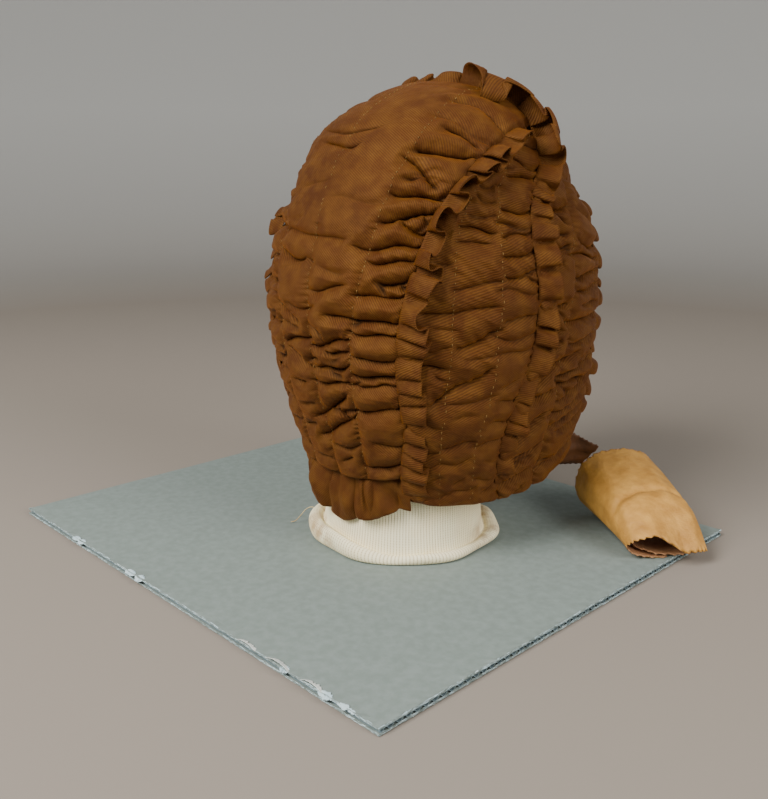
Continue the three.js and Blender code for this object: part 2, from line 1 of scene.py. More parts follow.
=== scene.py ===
# %% [markdown]
# A quilted and gathered silk hood, shown from behind on a padded post that stands on a sheet of
# corrugated card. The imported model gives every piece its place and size. This script gives each
# one its cloth, folds, frills and stitching.

# %% Load the fixed frame
import math

import bpy
import numpy as np
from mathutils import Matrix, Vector


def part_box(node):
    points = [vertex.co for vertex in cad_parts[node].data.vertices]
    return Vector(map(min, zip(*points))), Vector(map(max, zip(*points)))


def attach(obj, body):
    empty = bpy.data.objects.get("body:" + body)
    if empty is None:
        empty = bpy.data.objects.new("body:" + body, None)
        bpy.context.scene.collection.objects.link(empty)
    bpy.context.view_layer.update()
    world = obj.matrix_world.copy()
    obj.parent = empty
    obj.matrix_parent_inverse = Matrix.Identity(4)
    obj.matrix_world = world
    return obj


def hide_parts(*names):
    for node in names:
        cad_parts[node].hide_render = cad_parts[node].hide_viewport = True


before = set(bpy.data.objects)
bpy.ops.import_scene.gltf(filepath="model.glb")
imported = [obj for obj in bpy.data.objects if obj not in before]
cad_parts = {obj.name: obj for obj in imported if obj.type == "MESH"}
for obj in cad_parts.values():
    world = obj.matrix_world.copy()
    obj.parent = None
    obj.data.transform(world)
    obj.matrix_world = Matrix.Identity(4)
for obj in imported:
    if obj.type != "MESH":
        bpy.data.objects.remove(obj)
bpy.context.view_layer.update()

# %% [markdown]
# The cloth is formed in millimetres about the upright axis of the post, because seams and folds are
# easiest to think of in that unit. One scale and one shift then bring every point to the frame.

# %% Units and the post's axis
MM = 0.001
FIT_GAP = 0.3
post_low, post_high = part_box("padded_post")
board_low, board_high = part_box("board")
NECK = np.array([(post_low[0] + post_high[0]) / 2, (post_low[1] + post_high[1]) / 2, 0.0])
BOARD_TOP = board_high[2] / MM
FOOT = BOARD_TOP + FIT_GAP
UP = np.array([0.0, 0.0, 1.0])
MIRROR = np.array([-1.0, 1.0, 1.0])
print("post axis at", NECK, "board top at", BOARD_TOP, "mm")

# %% [markdown]
# The camera comes first. A picture of a thing on a level sheet gives the height and the tilt of the camera
# from the sheet's corners. Here it stands behind the hood's right shoulder, 24 cm above the table, and
# looks down by 15 degrees.

# %% Camera
SENSOR = 36.0
FOCAL_PIXELS = 906.0
IMAGE_HEIGHT = 799.0
CAMERA_AIM = Vector((0.7193, -0.6947, 0.0))
CAMERA_PITCH = math.radians(14.65)

camera_data = bpy.data.cameras.new("camera")
camera_data.sensor_width = SENSOR
camera_data.lens = SENSOR * FOCAL_PIXELS / IMAGE_HEIGHT
camera_data.clip_start = 0.01
camera = bpy.data.objects.new("camera", camera_data)
bpy.context.scene.collection.objects.link(camera)
aim = CAMERA_AIM.normalized() * math.cos(CAMERA_PITCH)
aim.z = -math.sin(CAMERA_PITCH)
camera.location = (-0.4263, 0.3932, 0.240)
camera.rotation_euler = aim.to_track_quat("-Z", "Y").to_euler()
bpy.context.scene.camera = camera
print("camera lens", round(camera_data.lens, 2), "mm")


# %% [markdown]
# Everything below is lines and grids of points, so a few small tools for them come next: how long a
# line is up to each point, where a length along it falls, and which way a grid of points faces.

# %% Lines and grids of points
def unit(vectors):
    return vectors / (np.sqrt((vectors * vectors).sum(-1, keepdims=True)) + 1e-12)


def normals_of(grid):
    return unit(np.cross(np.gradient(grid, axis=0), np.gradient(grid, axis=1)))


def faced(normals, way):
    """The normals, each turned round where it points against that way."""
    return normals * np.sign((normals * way).sum(-1, keepdims=True))


def running(steps):
    return np.concatenate([[0], np.cumsum(steps)])


def lengths_along(points):
    return running(np.linalg.norm(np.diff(points, axis=0), axis=-1))


def at_reach(reach, lengths, points):
    """Places at those lengths along a line of points."""
    return np.stack([np.interp(reach, lengths, points[:, k]) for k in range(3)], -1)


def hermite(t):
    """What two ends and the slopes there weigh in a smooth curve between them, at the share t."""
    return 2 * t**3 - 3 * t**2 + 1, 3 * t**2 - 2 * t**3, t**3 - 2 * t**2 + t, t**3 - t**2


def ramp(value, low, high):
    return np.clip((value - low) / (high - low), 0, 1)


# %% [markdown]
# The hood is cut to fit a head, so its outer surface is a stack of level, squarish ovals that close
# into a dome. The table holds their half widths and middles. A point is brought to this surface along
# the line from the middle of the head, which gives one answer all over and never folds.

# %% The head-shaped surface
SECTION_EXPONENT = 2.25
DEPTH_TO_WIDTH = 1.15
DOME_FROM = 155.2
DOME_TOP = 288.8
DOME_POWER = 2.2
HEAD_CENTRE = np.array([0.0, -28.0, 150.0])
FAR_OUT = 260.0
SECTIONS = np.array([  # z, half width, centre y
    (20.0, 67.0, -33.2), (41.4, 73.9, -33.2), (77.6, 82.9, -32.9), (113.8, 90.0, -30.2),
    (155.2, 92.6, -27.4), (196.6, 91.5, -28.3), (232.8, 86.9, -25.6), (258.6, 90.3, -28.3),
    (274.1, 96.0, -35.2), (288.8, 100.0, -38.0),
])


def smooth_column(column, heights):
    """A smooth curve through one column of the section table."""
    z = SECTIONS[:, 0]
    value = SECTIONS[:, column]
    slope = np.empty(len(z))
    slope[1:-1] = (value[2:] - value[:-2]) / (z[2:] - z[:-2])
    slope[0] = (value[1] - value[0]) / (z[1] - z[0])
    slope[-1] = (value[-1] - value[-2]) / (z[-1] - z[-2])
    i = np.clip(np.searchsorted(z, heights) - 1, 0, len(z) - 2)
    step = z[i + 1] - z[i]
    low, high, rise_low, rise_high = hermite(np.clip((heights - z[i]) / step, 0, 1))
    return low * value[i] + high * value[i + 1] + step * (rise_low * slope[i] + rise_high * slope[i + 1])


HEIGHTS = np.linspace(0.0, 300.0, 1201)
HALF_WIDTHS = smooth_column(1, HEIGHTS)
CENTRES = smooth_column(2, HEIGHTS)


def inside_hood(points):
    z = points[..., 2]
    dome = (1 - ramp(z, DOME_FROM, DOME_TOP)**DOME_POWER) ** (1 / DOME_POWER)
    half_width = np.interp(z, HEIGHTS, HALF_WIDTHS) * dome + 1e-6
    across = np.abs(points[..., 0] / half_width) ** SECTION_EXPONENT
    depth = np.abs(points[..., 1] - np.interp(z, HEIGHTS, CENTRES)) / (half_width * DEPTH_TO_WIDTH)
    return (across + depth**SECTION_EXPONENT < 1) & (z < DOME_TOP)


def on_hood(points):
    """Where the rays from the head's centre through the points leave the hood, by halving."""
    ray = unit(points - HEAD_CENTRE)
    near = np.zeros(points.shape[:-1] + (1,))
    far = near + FAR_OUT
    for _ in range(20):
        middle = (near + far) / 2
        is_in = inside_hood(HEAD_CENTRE + ray * middle)[..., None]
        near = np.where(is_in, middle, near)
        far = np.where(is_in, far, middle)
    return HEAD_CENTRE + ray * near


# %% [markdown]
# Seams and stitch lines divide the hood as a dressmaker would: a back panel in four channels, two side
# panels in three, and a front band in two. Each line is a smooth curve through a few places that were
# found on the right side. The left side is its mirror.

# %% Seams and stitch lines of the right side, in millimetres
LINES = {
    "centre_back": [(0, 57, 58), (0, 68, 95), (0, 77, 150), (0, 72, 190),
                    (0, 60, 230), (0, 38, 262), (0, 14, 281), (0, -14, 287)],
    "half_back": [(-23, 55, 59), (-26, 66, 95), (-30, 73, 148), (-36, 65, 190),
                  (-39, 50, 228), (-41, 30, 253), (-38, 4, 273), (-34, -24, 283)],
    "back_seam": [(-46, 45, 43), (-47, 49, 60), (-53, 52, 92), (-55, 60, 134),
                  (-58, 59, 162), (-60, 51, 186), (-62, 38, 211), (-65, 19, 232),
                  (-66, -1, 246), (-63, -24, 257), (-59, -45, 262.5)],
    "side_stitch_back": [(-58, 28, 43), (-64, 36, 78), (-71, 39, 114), (-75, 40, 150), (-74, 38, 182),
                         (-70, 31, 206), (-69, 12, 232), (-67, -12, 247), (-60, -45, 261.5)],
    "side_stitch_front": [(-67, 12, 43), (-77, 19, 88), (-84, 16, 118), (-87, 15, 150), (-85, 12, 180),
                          (-80, 10, 206), (-74, 2, 228), (-69, -16, 243), (-61, -45, 260.5)],
    "crown_seam": [(-72, -8, 44), (-79, 0, 72), (-86, -3, 106), (-92, -13, 140),
                   (-92, -16, 172), (-86, -15, 200), (-79, -23, 222), (-71, -40, 242),
                   (-59, -45, 262.5), (-42, -34, 278), (-22, -19, 285), (0, -14, 287)],
    "band_stitch": [(-76, -36, 45), (-87, -39, 97), (-92, -44, 140), (-91, -49, 175), (-84, -54, 205),
                    (-75, -59, 227), (-62, -64, 247), (-34, -64, 268), (0, -60, 277)],
    "face_edge": [(-68, -80, 54), (-73, -87, 92), (-76, -94, 135), (-74, -99, 178),
                  (-65, -102, 212), (-42, -103, 243), (0, -103, 256)],
}
OVER_HEAD = ("crown_seam", "band_stitch", "face_edge")
CROWN_JUNCTION_ROW = 8
NAPE_START_ROW = 1
STEPS_PER_ROW = 60


def smooth_line(rows):
    """A centripetal Catmull-Rom curve through the rows: its fine points and the length up to each."""
    p = np.array(rows, float)
    p = np.vstack([2 * p[0] - p[1], p, 2 * p[-1] - p[-2]])
    weights = hermite(np.linspace(0, 1, STEPS_PER_ROW, endpoint=False)[:, None])
    parts = []
    for a, b, c, d in zip(p[:-3], p[1:-2], p[2:-1], p[3:]):
        before, here, after = (np.linalg.norm(y - x) ** 0.5 for x, y in ((a, b), (b, c), (c, d)))
        start = ((b - a) / before - (c - a) / (before + here) + (c - b) / here) * here
        end = ((c - b) / here - (d - b) / (here + after) + (d - c) / after) * here
        parts.append(weights[0] * b + weights[1] * c + weights[2] * start + weights[3] * end)
    points = np.vstack(parts + [p[-2:-1]])
    return points, lengths_along(points)


def at_share(line, share):
    """Points at shares of a line's length."""
    points, lengths = line
    return at_reach(np.asarray(share) * lengths[-1], lengths, points)


lines = {}
for line_name, line_rows in LINES.items():
    rows = [np.array(r, float) for r in line_rows]
    if line_name in OVER_HEAD:
        rows = rows + [r * MIRROR for r in rows[-2::-1]]
    lines[line_name] = smooth_line(rows)
crown_lengths = lines["crown_seam"][1]
seam_lengths = lines["back_seam"][1]
junction_share = crown_lengths[CROWN_JUNCTION_ROW * STEPS_PER_ROW] / crown_lengths[-1]
nape_share = seam_lengths[NAPE_START_ROW * STEPS_PER_ROW] / seam_lengths[-1]
print({k: round(v[1][-1]) for k, v in lines.items()}, "mm")


# %% [markdown]
# A panel is the patch between two seams. A point of it is given by its shares across and along, which
# is also how a crease is written down.

# %% Where each panel lies
SIDE_TOP_SHARE = 0.972


def between(names, share_across, shares_along):
    """Places between neighbouring lines: share_across runs over all of them from 0 to 1."""
    s = share_across * (len(names) - 1)
    i = np.minimum(np.floor(s).astype(int), len(names) - 2)
    curves = np.stack([at_share(lines[n], a) for n, a in zip(names, shares_along)])
    blend = (s - i)[..., None]
    low, high = (np.take_along_axis(curves, i[None, ..., None] + k, axis=0)[0] for k in (0, 1))
    return low * (1 - blend) + high * blend


def back_place(u, v):
    """The back panel, from the right seam at u = 0 to the left one, and from nape to crown."""
    half = np.abs(2 * u - 1)
    names = ("centre_back", "half_back", "back_seam")
    p = between(names, half, (v, v, nape_share + (1 - nape_share) * v))
    end = between(names, half, [np.ones_like(v)] * 3)
    crown = at_share(lines["crown_seam"], 0.5 + (junction_share - 0.5) * half)
    p = p + (crown - end) * (v * v)[..., None]
    return on_hood(np.where((u > 0.5)[..., None], p * MIRROR, p))


def side_place(u, v):
    names = ("back_seam", "side_stitch_back", "side_stitch_front", "crown_seam")
    w = v * SIDE_TOP_SHARE
    return on_hood(between(names, u, (w, w, w, w * junction_share)))


def band_place(u, v):
    return on_hood(between(OVER_HEAD, u, (v, v, v)))


# %% [markdown]
# Gathered cloth is longer than the seam it is sewn to, so it buckles into folds. Blender's own cloth
# could settle it, but a whole quilted panel held along every stitch line is quicker and steadier as a
# small simulation on a regular grid. Every thread keeps its length, the stitch lines hold the cloth
# down, and wadding pushes it out between them. It starts from drawn creases on a coarse grid and is
# refined twice, so it finds the same folds on each run.

# %% Keep every thread its length
SQUASH = 0.35  # how firmly a thread resists a squash, against 1 for a pull
SAG = np.array([0.0, 0.0, -0.012])
PUFF_LIMIT = 1.8
FOLD_LIMIT = 8.2


def pairs(shape, across, along):
    """Index pairs of grid points that lie (across, along) apart, in sets that share no point."""
    step = max(across, abs(along))
    count = shape[1] if along else shape[0]
    starts = [np.arange(k, count - step, 2 * step) for k in range(2 * step)]
    if not along:
        return [((s, slice(None)), (s + step, slice(None))) for s in starts]
    left = slice(0, shape[0] - across)
    right = slice(across, shape[0])
    if along < 0:
        return [((left, s + step), (right, s)) for s in starts]
    return [((left, s), (right, s + step)) for s in starts]


def hold_length(x, a, b, rest, stiffness):
    """Brings pairs of points back to their rest length."""
    first = x[a]
    second = x[b]
    step = second - first
    length = np.sqrt((step * step).sum(-1, keepdims=True)) + 1e-9
    share = 0.5 * stiffness * np.where(length > rest, 1.0, SQUASH)
    move = step * (share * (1 - rest / length))
    x[a] = first + move
    x[b] = second - move


def relax(x, base, normal, pinned, held, soft, rest_v, rest_u, rounds, push, stiff):
    """Lets the grid x settle. held is how firmly a point keeps its place, soft how far it is pushed out."""
    shape = x.shape[:2]
    pins = x[pinned].copy()
    first = x.copy()
    free = normal * (push * soft * (1 - held))[..., None] + SAG
    grip = 0.25 * held[..., None]
    diagonal = np.sqrt(rest_u[:, :-1] ** 2 + rest_v[:-1, :] ** 2)
    rules = [(a, b, rest_v[:, a[1]][..., None], 1.0) for a, b in pairs(shape, 0, 1)]
    rules += [(a, b, rest_u[a[0], :][..., None], 0.9) for a, b in pairs(shape, 1, 0)]
    for a, b in pairs(shape, 1, 1) + pairs(shape, 1, -1):
        rules.append((a, b, diagonal[:, np.minimum(a[1], b[1])][..., None], 0.25))
    rules += [(a, b, 2 * rest_v[:, a[1]][..., None], stiff) for a, b in pairs(shape, 0, 2)]
    for _ in range(rounds):
        x += free + (first - x) * grip
        for rule in rules:
            hold_length(x, *rule)
        height = ((x - base) * normal).sum(-1, keepdims=True)
        x += normal * (np.clip(height, -FOLD_LIMIT, PUFF_LIMIT) - height)
        x[pinned] = pins
    return x


def smoothed(values, width, axis):
    """A running average, with the ends repeated."""
    pad = [(0, 0)] * values.ndim
    pad[axis] = (width, width)
    total = np.cumsum(np.pad(values, pad, mode="edge"), axis=axis)
    places = np.arange(values.shape[axis])
    return (np.take(total, places + 2 * width, axis=axis) - np.take(total, places, axis=axis)) / (2 * width)


def up2(grid):
    """Doubles a grid's resolution, keeping its points."""
    for _ in range(2):
        fine = np.empty((grid.shape[0] * 2 - 1,) + grid.shape[1:])
        fine[::2] = grid
        fine[1::2] = (grid[1:] + grid[:-1]) / 2
        grid = fine.swapaxes(0, 1)
    return grid


def coarser(rest_v, rest_u, step):
    """Rest lengths for a grid that keeps every nth point."""
    along = rest_v[::step]
    across = rest_u[:, ::step]
    return along.reshape(len(along), -1, step).sum(-1), across.reshape(-1, step, across.shape[1]).sum(1)


# %% [markdown]
# A crease is written down as a line over the panel: how many channels across and how far up it starts
# and ends, and how deep it is. The creases that show in the photograph are listed. Between them,
# and where the photograph shows nothing, a seeded row of creases fills the gathered parts. A crease is
# a broad dip with a sharp fold in it, and the cloth above it hangs over as a lip, as limp silk does.

# %% Draw the creases that the cloth starts from
DIP_WIDTH = 4.4
SHARP_WIDTH = 1.3
LIP_REACH = 2.2
END_FADE = 0.2
CLEAR_OF_LISTED = 6.0
FORKS_FROM_DEPTH = 3.4
RIPPLE_PITCH = 5.2


def drawn_creases(random, channel, length, table, slant):
    """A row of creases up one channel, from a table of (share of height, pitch, depth)."""
    shares, pitches, depths = np.array(table, float).T
    rows = []
    reach = random.uniform(0.2, 0.9) * pitches[0]
    while reach < length:
        share = reach / length
        rise = 100 * random.normal(slant, 4.0) / length
        start = channel + random.uniform(-0.3, 0.35)
        end = channel + random.uniform(0.65, 1.3)
        deep = np.interp(share, shares, depths) * random.uniform(0.4, 1.15)
        rows.append((start, 100 * share - rise / 2, end, 100 * share + rise / 2, deep))
        reach += np.interp(share, shares, pitches) * random.uniform(0.5, 1.6)
    return rows


def branches(random, rows, length):
    """Short creases that fork off the deep ones, as a gather does close to its stitches."""
    forks = []
    for start, low, end, high, deep in rows:
        if deep < FORKS_FROM_DEPTH or random.uniform() < 0.35:
            continue
        at = random.uniform(0.15, 0.7)
        away = random.choice((-1, 1)) * random.uniform(3.5, 8.0) * 100 / length
        foot = low + (high - low) * at
        run = random.uniform(0.35, 0.6)
        across = start + (end - start) * at
        side = random.choice((-1, 1))
        ends = sorted([(across, foot), (across + side * run, foot + away)])
        forks.append((*ends[0], *ends[1], deep * random.uniform(0.45, 0.75)))
    return forks


def keep_clear(rows, listed, length):
    """The drawn creases whose middle isn't close above or below a listed one."""
    kept = []
    for row in rows:
        across = (row[0] + row[2]) / 2
        up = (row[1] + row[3]) / 2
        gaps = [abs(np.interp(across, (a, c), (b, d)) - up) for a, b, c, d, _ in listed if a < across < c]
        if not gaps or min(gaps) * length / 100 > CLEAR_OF_LISTED:
            kept.append(row)
    return kept


def crease_field(random, rows, across, up, length):
    """For every point: how deep the broad dips and the sharp folds are, and how far the lip above hangs."""
    dip, sharp, lip = np.zeros((3,) + across.shape)
    for start, low, end, high, deep in rows:
        bow = random.uniform(-1.2, 2.4)
        sway = random.uniform(0.3, 1.6)
        phase = random.uniform(0, 2 * np.pi)
        t = (across - start) / (end - start)
        at = np.clip(t, 0, 1)
        bend = bow * np.sin(np.pi * at) + sway * np.sin(6.5 * at * (end - start) + phase)
        away = (up - (low + (high - low) * at)) * length / 100 + bend
        fade = np.clip(np.minimum(t, 1 - t) * (end - start) / END_FADE + 0.1, 0, 1)
        dip = np.maximum(dip, deep * fade * np.exp(-np.abs(away / DIP_WIDTH) ** 1.3))
        sharp = np.maximum(sharp, deep * fade * np.exp(-np.abs(away / SHARP_WIDTH) ** 1.3))
        above = np.clip(away + 0.4, 0, None) / LIP_REACH
        lip = np.maximum(lip, deep / 6 * fade * above * np.exp(1 - above))
    return dip, sharp, lip


def channel_tables(random, channels, length, whole, v, listed):
    """Each channel's creases, stitch depth, pucker and gather, spread over the panel's grid."""
    creases = list(listed)
    stitch, pucker, gather = np.zeros((3,) + v.shape)
    for k, channel in enumerate(channels):
        drawn = drawn_creases(random, k, length, channel["drawn"], channel.get("slant", 0))
        creases += keep_clear(drawn, listed, length)
        part = whole == k
        up = v[part]
        stitch[part] = np.interp(up, *np.array(channel["stitch"], float).T)
        shares, _, depths = np.array(channel["drawn"], float).T
        gather[part] = np.clip(np.interp(up, shares, depths) / 4.5 - 0.25, 0, 1)
        pull = np.interp(up, *np.array(channel.get("pucker", [(0, 1), (1, 1)]), float).T)
        ripple = np.abs(np.sin(np.pi * (up * length / RIPPLE_PITCH + k * 0.37 + np.sin(up * 40 + k))))
        pucker[part] = 1.1 * pull * (1 - ripple)
    creases += branches(random, creases, length)
    return creases, stitch, pucker, gather


# %% [markdown]
# One panel is then formed in four steps: its creases are sunk into the head-shaped surface, its seams
# and stitch lines are pinned, the cloth settles on finer and finer grids, and at last each crease is
# cut sharper and its lip is drawn down over it.

# %% Form one quilted panel
SEAM_DEPTH = 1.0
GATHER_PITCH = 7.3
CHANNEL_FULL_AT = 20.0
SLACK = 0.16
LIP_DROP = 2.9
LIP_RISE = 0.9
SHARP_SHARE = 0.6
LEVELS = ((4, 70, 0.05, 0.02), (2, 30, 0.03, 0.05), (1, 8, 0.01, 0.05))  # nth point, rounds, push, stiffness


def gathered_panel(place, channels, columns, rows, listed, seed):
    """The outer skin of one quilted panel, from its listed creases and each channel's tables."""
    random = np.random.default_rng(seed)
    count = len(channels)
    nu = count * columns + 1
    nv = rows + 1
    u, v = np.meshgrid(np.linspace(0, 1, nu), np.linspace(0, 1, nv), indexing="ij")
    base = place(u, v)
    normal = normals_of(base)
    middle = (nu // 2, nv // 2)
    if (normal[middle] * (base[middle] - HEAD_CENTRE)).sum() < 0:
        normal = -normal
    along = unit(np.gradient(base, axis=1))
    step_v = np.linalg.norm(np.diff(base, axis=1), axis=-1)
    step_u = np.linalg.norm(np.diff(base, axis=0), axis=-1)
    length = step_v.sum(1).max()
    across = u * count
    whole = np.minimum(np.floor(across), count - 1).astype(int)
    middle = np.sin(np.pi * (across - whole))
    width = smoothed(np.stack([step_u[k * columns:(k + 1) * columns].sum(0) for k in range(count)]), 4, 1)
    puff = np.clip(np.take_along_axis(width, whole, axis=0) / CHANNEL_FULL_AT, 0.05, 1)

    creases, stitch, pucker, gather = channel_tables(random, channels, length, whole, v, listed)
    dip, sharp, lip = crease_field(random, creases, across, 100 * v, length)
    held = stitch * (1 - middle**0.7) + pucker * (1 - middle) ** 3
    sink = (held + dip * (0.7 + 0.2 * middle)) * puff + SEAM_DEPTH * (1 - puff)
    border = np.minimum(np.minimum(u, 1 - u) * nu, np.minimum(v, 1 - v) * nv)
    blend = np.clip(border / 4, 0, 1)
    gathers = 1.6 * np.abs(np.sin(v * length * np.pi / GATHER_PITCH + 2 * np.sin(v * 31 + u))) ** 3
    sink = sink * blend + (SEAM_DEPTH + gathers + 0.4 * dip) * (1 - blend)
    start = base - normal * sink[..., None]

    pinned = (np.arange(nu) % columns == 0)[:, None] & (stitch > 0.35)
    pinned[[0, -1]] = True
    pinned[:, [0, -1]] = True
    drawn_step = np.linalg.norm(np.diff(start, axis=1), axis=-1)
    window = max(int(8 / step_v.mean()), 2)
    gather = smoothed(gather, columns // 2, 0)
    rest_v = smoothed(drawn_step, window, 1) * (1 + SLACK * (gather[:, 1:] + gather[:, :-1]) / 2)
    rest_u = np.maximum(smoothed(np.linalg.norm(np.diff(start, axis=0), axis=-1), 3, 0), step_u) * 1.02
    grip = np.clip(dip / 5, 0, 1) ** 1.5
    soft = 0.25 + 0.75 * gather
    x = None
    for step, rounds, push, stiff in LEVELS:
        every = (slice(None, None, step), slice(None, None, step))
        x = start[every].copy() if x is None else up2(x)
        x[pinned[every]] = start[every][pinned[every]]
        x = relax(x, base[every], normal[every], pinned[every], grip[every], soft[every],
                  *coarser(rest_v, rest_u, step), rounds, push, stiff)

    strength = (blend * (0.35 + 0.65 * puff))[..., None]
    skin = x - normal * (SHARP_SHARE * sharp)[..., None] * strength
    skin = skin + (normal * LIP_RISE - along * LIP_DROP) * lip[..., None] * strength
    cloth = np.stack(np.meshgrid(running(rest_u.mean(1)), running(rest_v.mean(0)), indexing="ij"), -1)
    # painted shade: how far each crease floor is darkened in the silk's colour, from how sharp its fold is
    shade = np.clip(sharp / 5, 0, 1)
    return {"skin": skin, "base": base, "normal": normal, "cloth": cloth, "columns": columns, "shade": shade}


# %% [markdown]
# Cloth has two sides and an edge, so each piece is a closed shell: an outer grid, an inner grid and a
# wall along the border. Its own cloth coordinates go with it, so that a weave follows the threads.

# %% Turn grids of points into closed meshes
def border_ids(ids):
    return [ids[:, 0], ids[-1, :], ids[::-1, -1], ids[0, ::-1]]


def skin_faces(ids):
    return np.stack([ids[:-1, :-1], ids[1:, :-1], ids[1:, 1:], ids[:-1, 1:]], axis=-1).reshape(-1, 4)


def wall_faces(outer, inner):
    """Triangles between two borders with different numbers of points."""
    faces = []
    i = j = 0
    last_i = len(outer) - 1
    last_j = len(inner) - 1
    while i < last_i or j < last_j:
        if (i + 1) * last_j <= (j + 1) * last_i and i < last_i:
            faces.append((outer[i + 1], outer[i], inner[j]))
            i += 1
        else:
            faces.append((inner[j], inner[j + 1], outer[i]))
            j += 1
    return faces


def closed_shell(outer, inner, cloth_outer, cloth_inner):
    """Points, faces, cloth coordinates and the number of the first inner face."""
    outer_ids = np.arange(outer[..., 0].size).reshape(outer.shape[:2])
    inner_ids = outer_ids.size + np.arange(inner[..., 0].size).reshape(inner.shape[:2])
    faces = list(skin_faces(outer_ids))
    for a, b in zip(border_ids(outer_ids), border_ids(inner_ids)):
        faces += wall_faces(a, b)
    inner_from = len(faces)
    faces += list(skin_faces(inner_ids)[:, ::-1])
    points = np.concatenate([outer.reshape(-1, 3), inner.reshape(-1, 3)])
    cloth = np.concatenate([cloth_outer.reshape(-1, 2), cloth_inner.reshape(-1, 2)])
    return points, faces, cloth, inner_from


def declare(piece, node_name=None):
    """Hangs the piece on the root body, and hides the CAD node that it stands for, if one is given."""
    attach(piece, "root")
    if node_name:
        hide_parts(node_name)
    print(piece.name, len(piece.data.polygons), "faces")
    return piece


def turn_outwards(mesh):
    """Turns the whole closed mesh round if its volume comes out negative."""
    mesh.calc_loop_triangles()
    corners = np.empty(len(mesh.loop_triangles) * 3, int)
    mesh.loop_triangles.foreach_get("vertices", corners)
    places = np.empty(len(mesh.vertices) * 3)
    mesh.vertices.foreach_get("co", places)
    a, b, c = places.reshape(-1, 3)[corners.reshape(-1, 3)].transpose(1, 0, 2)
    if (a * np.cross(b, c)).sum() < 0:
        mesh.flip_normals()


def new_piece(name, points, faces, cloth, materials, node_name=None, inner_from=None, shade=None):
    """A smooth mesh object at the origin, with its cloth coordinates as its UV map."""
    mesh = bpy.data.meshes.new(name)
    places = np.asarray(points, float) * MM + NECK
    mesh.from_pydata(places.tolist(), [], [[int(i) for i in f] for f in faces])
    corners = np.empty(len(mesh.loops), int)
    mesh.loops.foreach_get("vertex_index", corners)
    layer = mesh.uv_layers.new(name="cloth")
    layer.data.foreach_set("uv", (cloth[corners] * MM).ravel())
    for material in materials:
        mesh.materials.append(material)
    if len(materials) > 1:
        mesh.polygons.foreach_set("material_index", (np.arange(len(faces)) >= inner_from).astype(int))
    # painted shade: each point's darkening of the crease floors, read by the silk's colour
    if shade is not None:
        depth = mesh.attributes.new("crease", "FLOAT", "POINT")
        depth.data.foreach_set("value", shade)
    mesh.polygons.foreach_set("use_smooth", np.ones(len(faces), bool))
    mesh.update()
    piece = bpy.data.objects.new(name, mesh)
    bpy.context.scene.collection.objects.link(piece)
    turn_outwards(mesh)
    return declare(piece, node_name)


# %% [markdown]
# A frill is a narrow strip gathered along one edge, so its free edge is about twice as long as the seam.
# The spare cloth stands up in broad round flutes, and goes down between them into narrow slits whose
# sides touch. Where it is looser it wanders in S curves, and its free edge curls over. The strip is
# drawn as that, from tables of its pitch, height, fullness, lean and curl along the seam, because those
# are what the eye compares with a photograph.


# %% Gathered strips
FRILL_ROWS = 10
FRILL_SAMPLES_PER_MM = 1.9
FRILL_DROOP = 2.0
FRILL_COVER = 2.2


def along_seam(value, share):
    """A number, or a table of (share of the seam, number), at those shares."""
    if np.ndim(value) == 0:
        return np.full(np.shape(share), float(value))
    return np.interp(share, *np.array(value, float).T)


def flutes_along(random, length, pitch, samples):
    """The phase of a frill's wave along its seam, with flutes of uneven width."""
    valleys = [0.0]
    while valleys[-1] < length:
        here = along_seam(pitch, valleys[-1] / length)
        valleys.append(valleys[-1] + here * random.uniform(0.5, 1.7))
    reach = np.linspace(0, length, samples)
    return reach, np.interp(reach, valleys, np.arange(len(valleys)) * 2 * np.pi), valleys


def flute(phase, loose):
    """For each phase: how far out the flute stands, and how far it moves along the seam, per pitch.

    A tight flute has a round top and a closed slit. A loose one wanders in S curves."""
    slit = (1 + np.sin(phase)) / 2
    out = (1 - loose) * (1.1 - 1.8 * slit**1.8) + loose * (0.5 - 0.8 * np.sin(phase))
    shift = (1 - loose) * 0.17 * np.cos(phase) * slit - loose * 0.17 * np.sin(2 * phase)
    return out, shift


def strip_cloth(grid, drop):
    """A strip's cloth coordinates: how far down it a point is, and how far along its free edge."""
    return np.stack([drop, np.broadcast_to(lengths_along(grid[-1]), drop.shape)], -1)


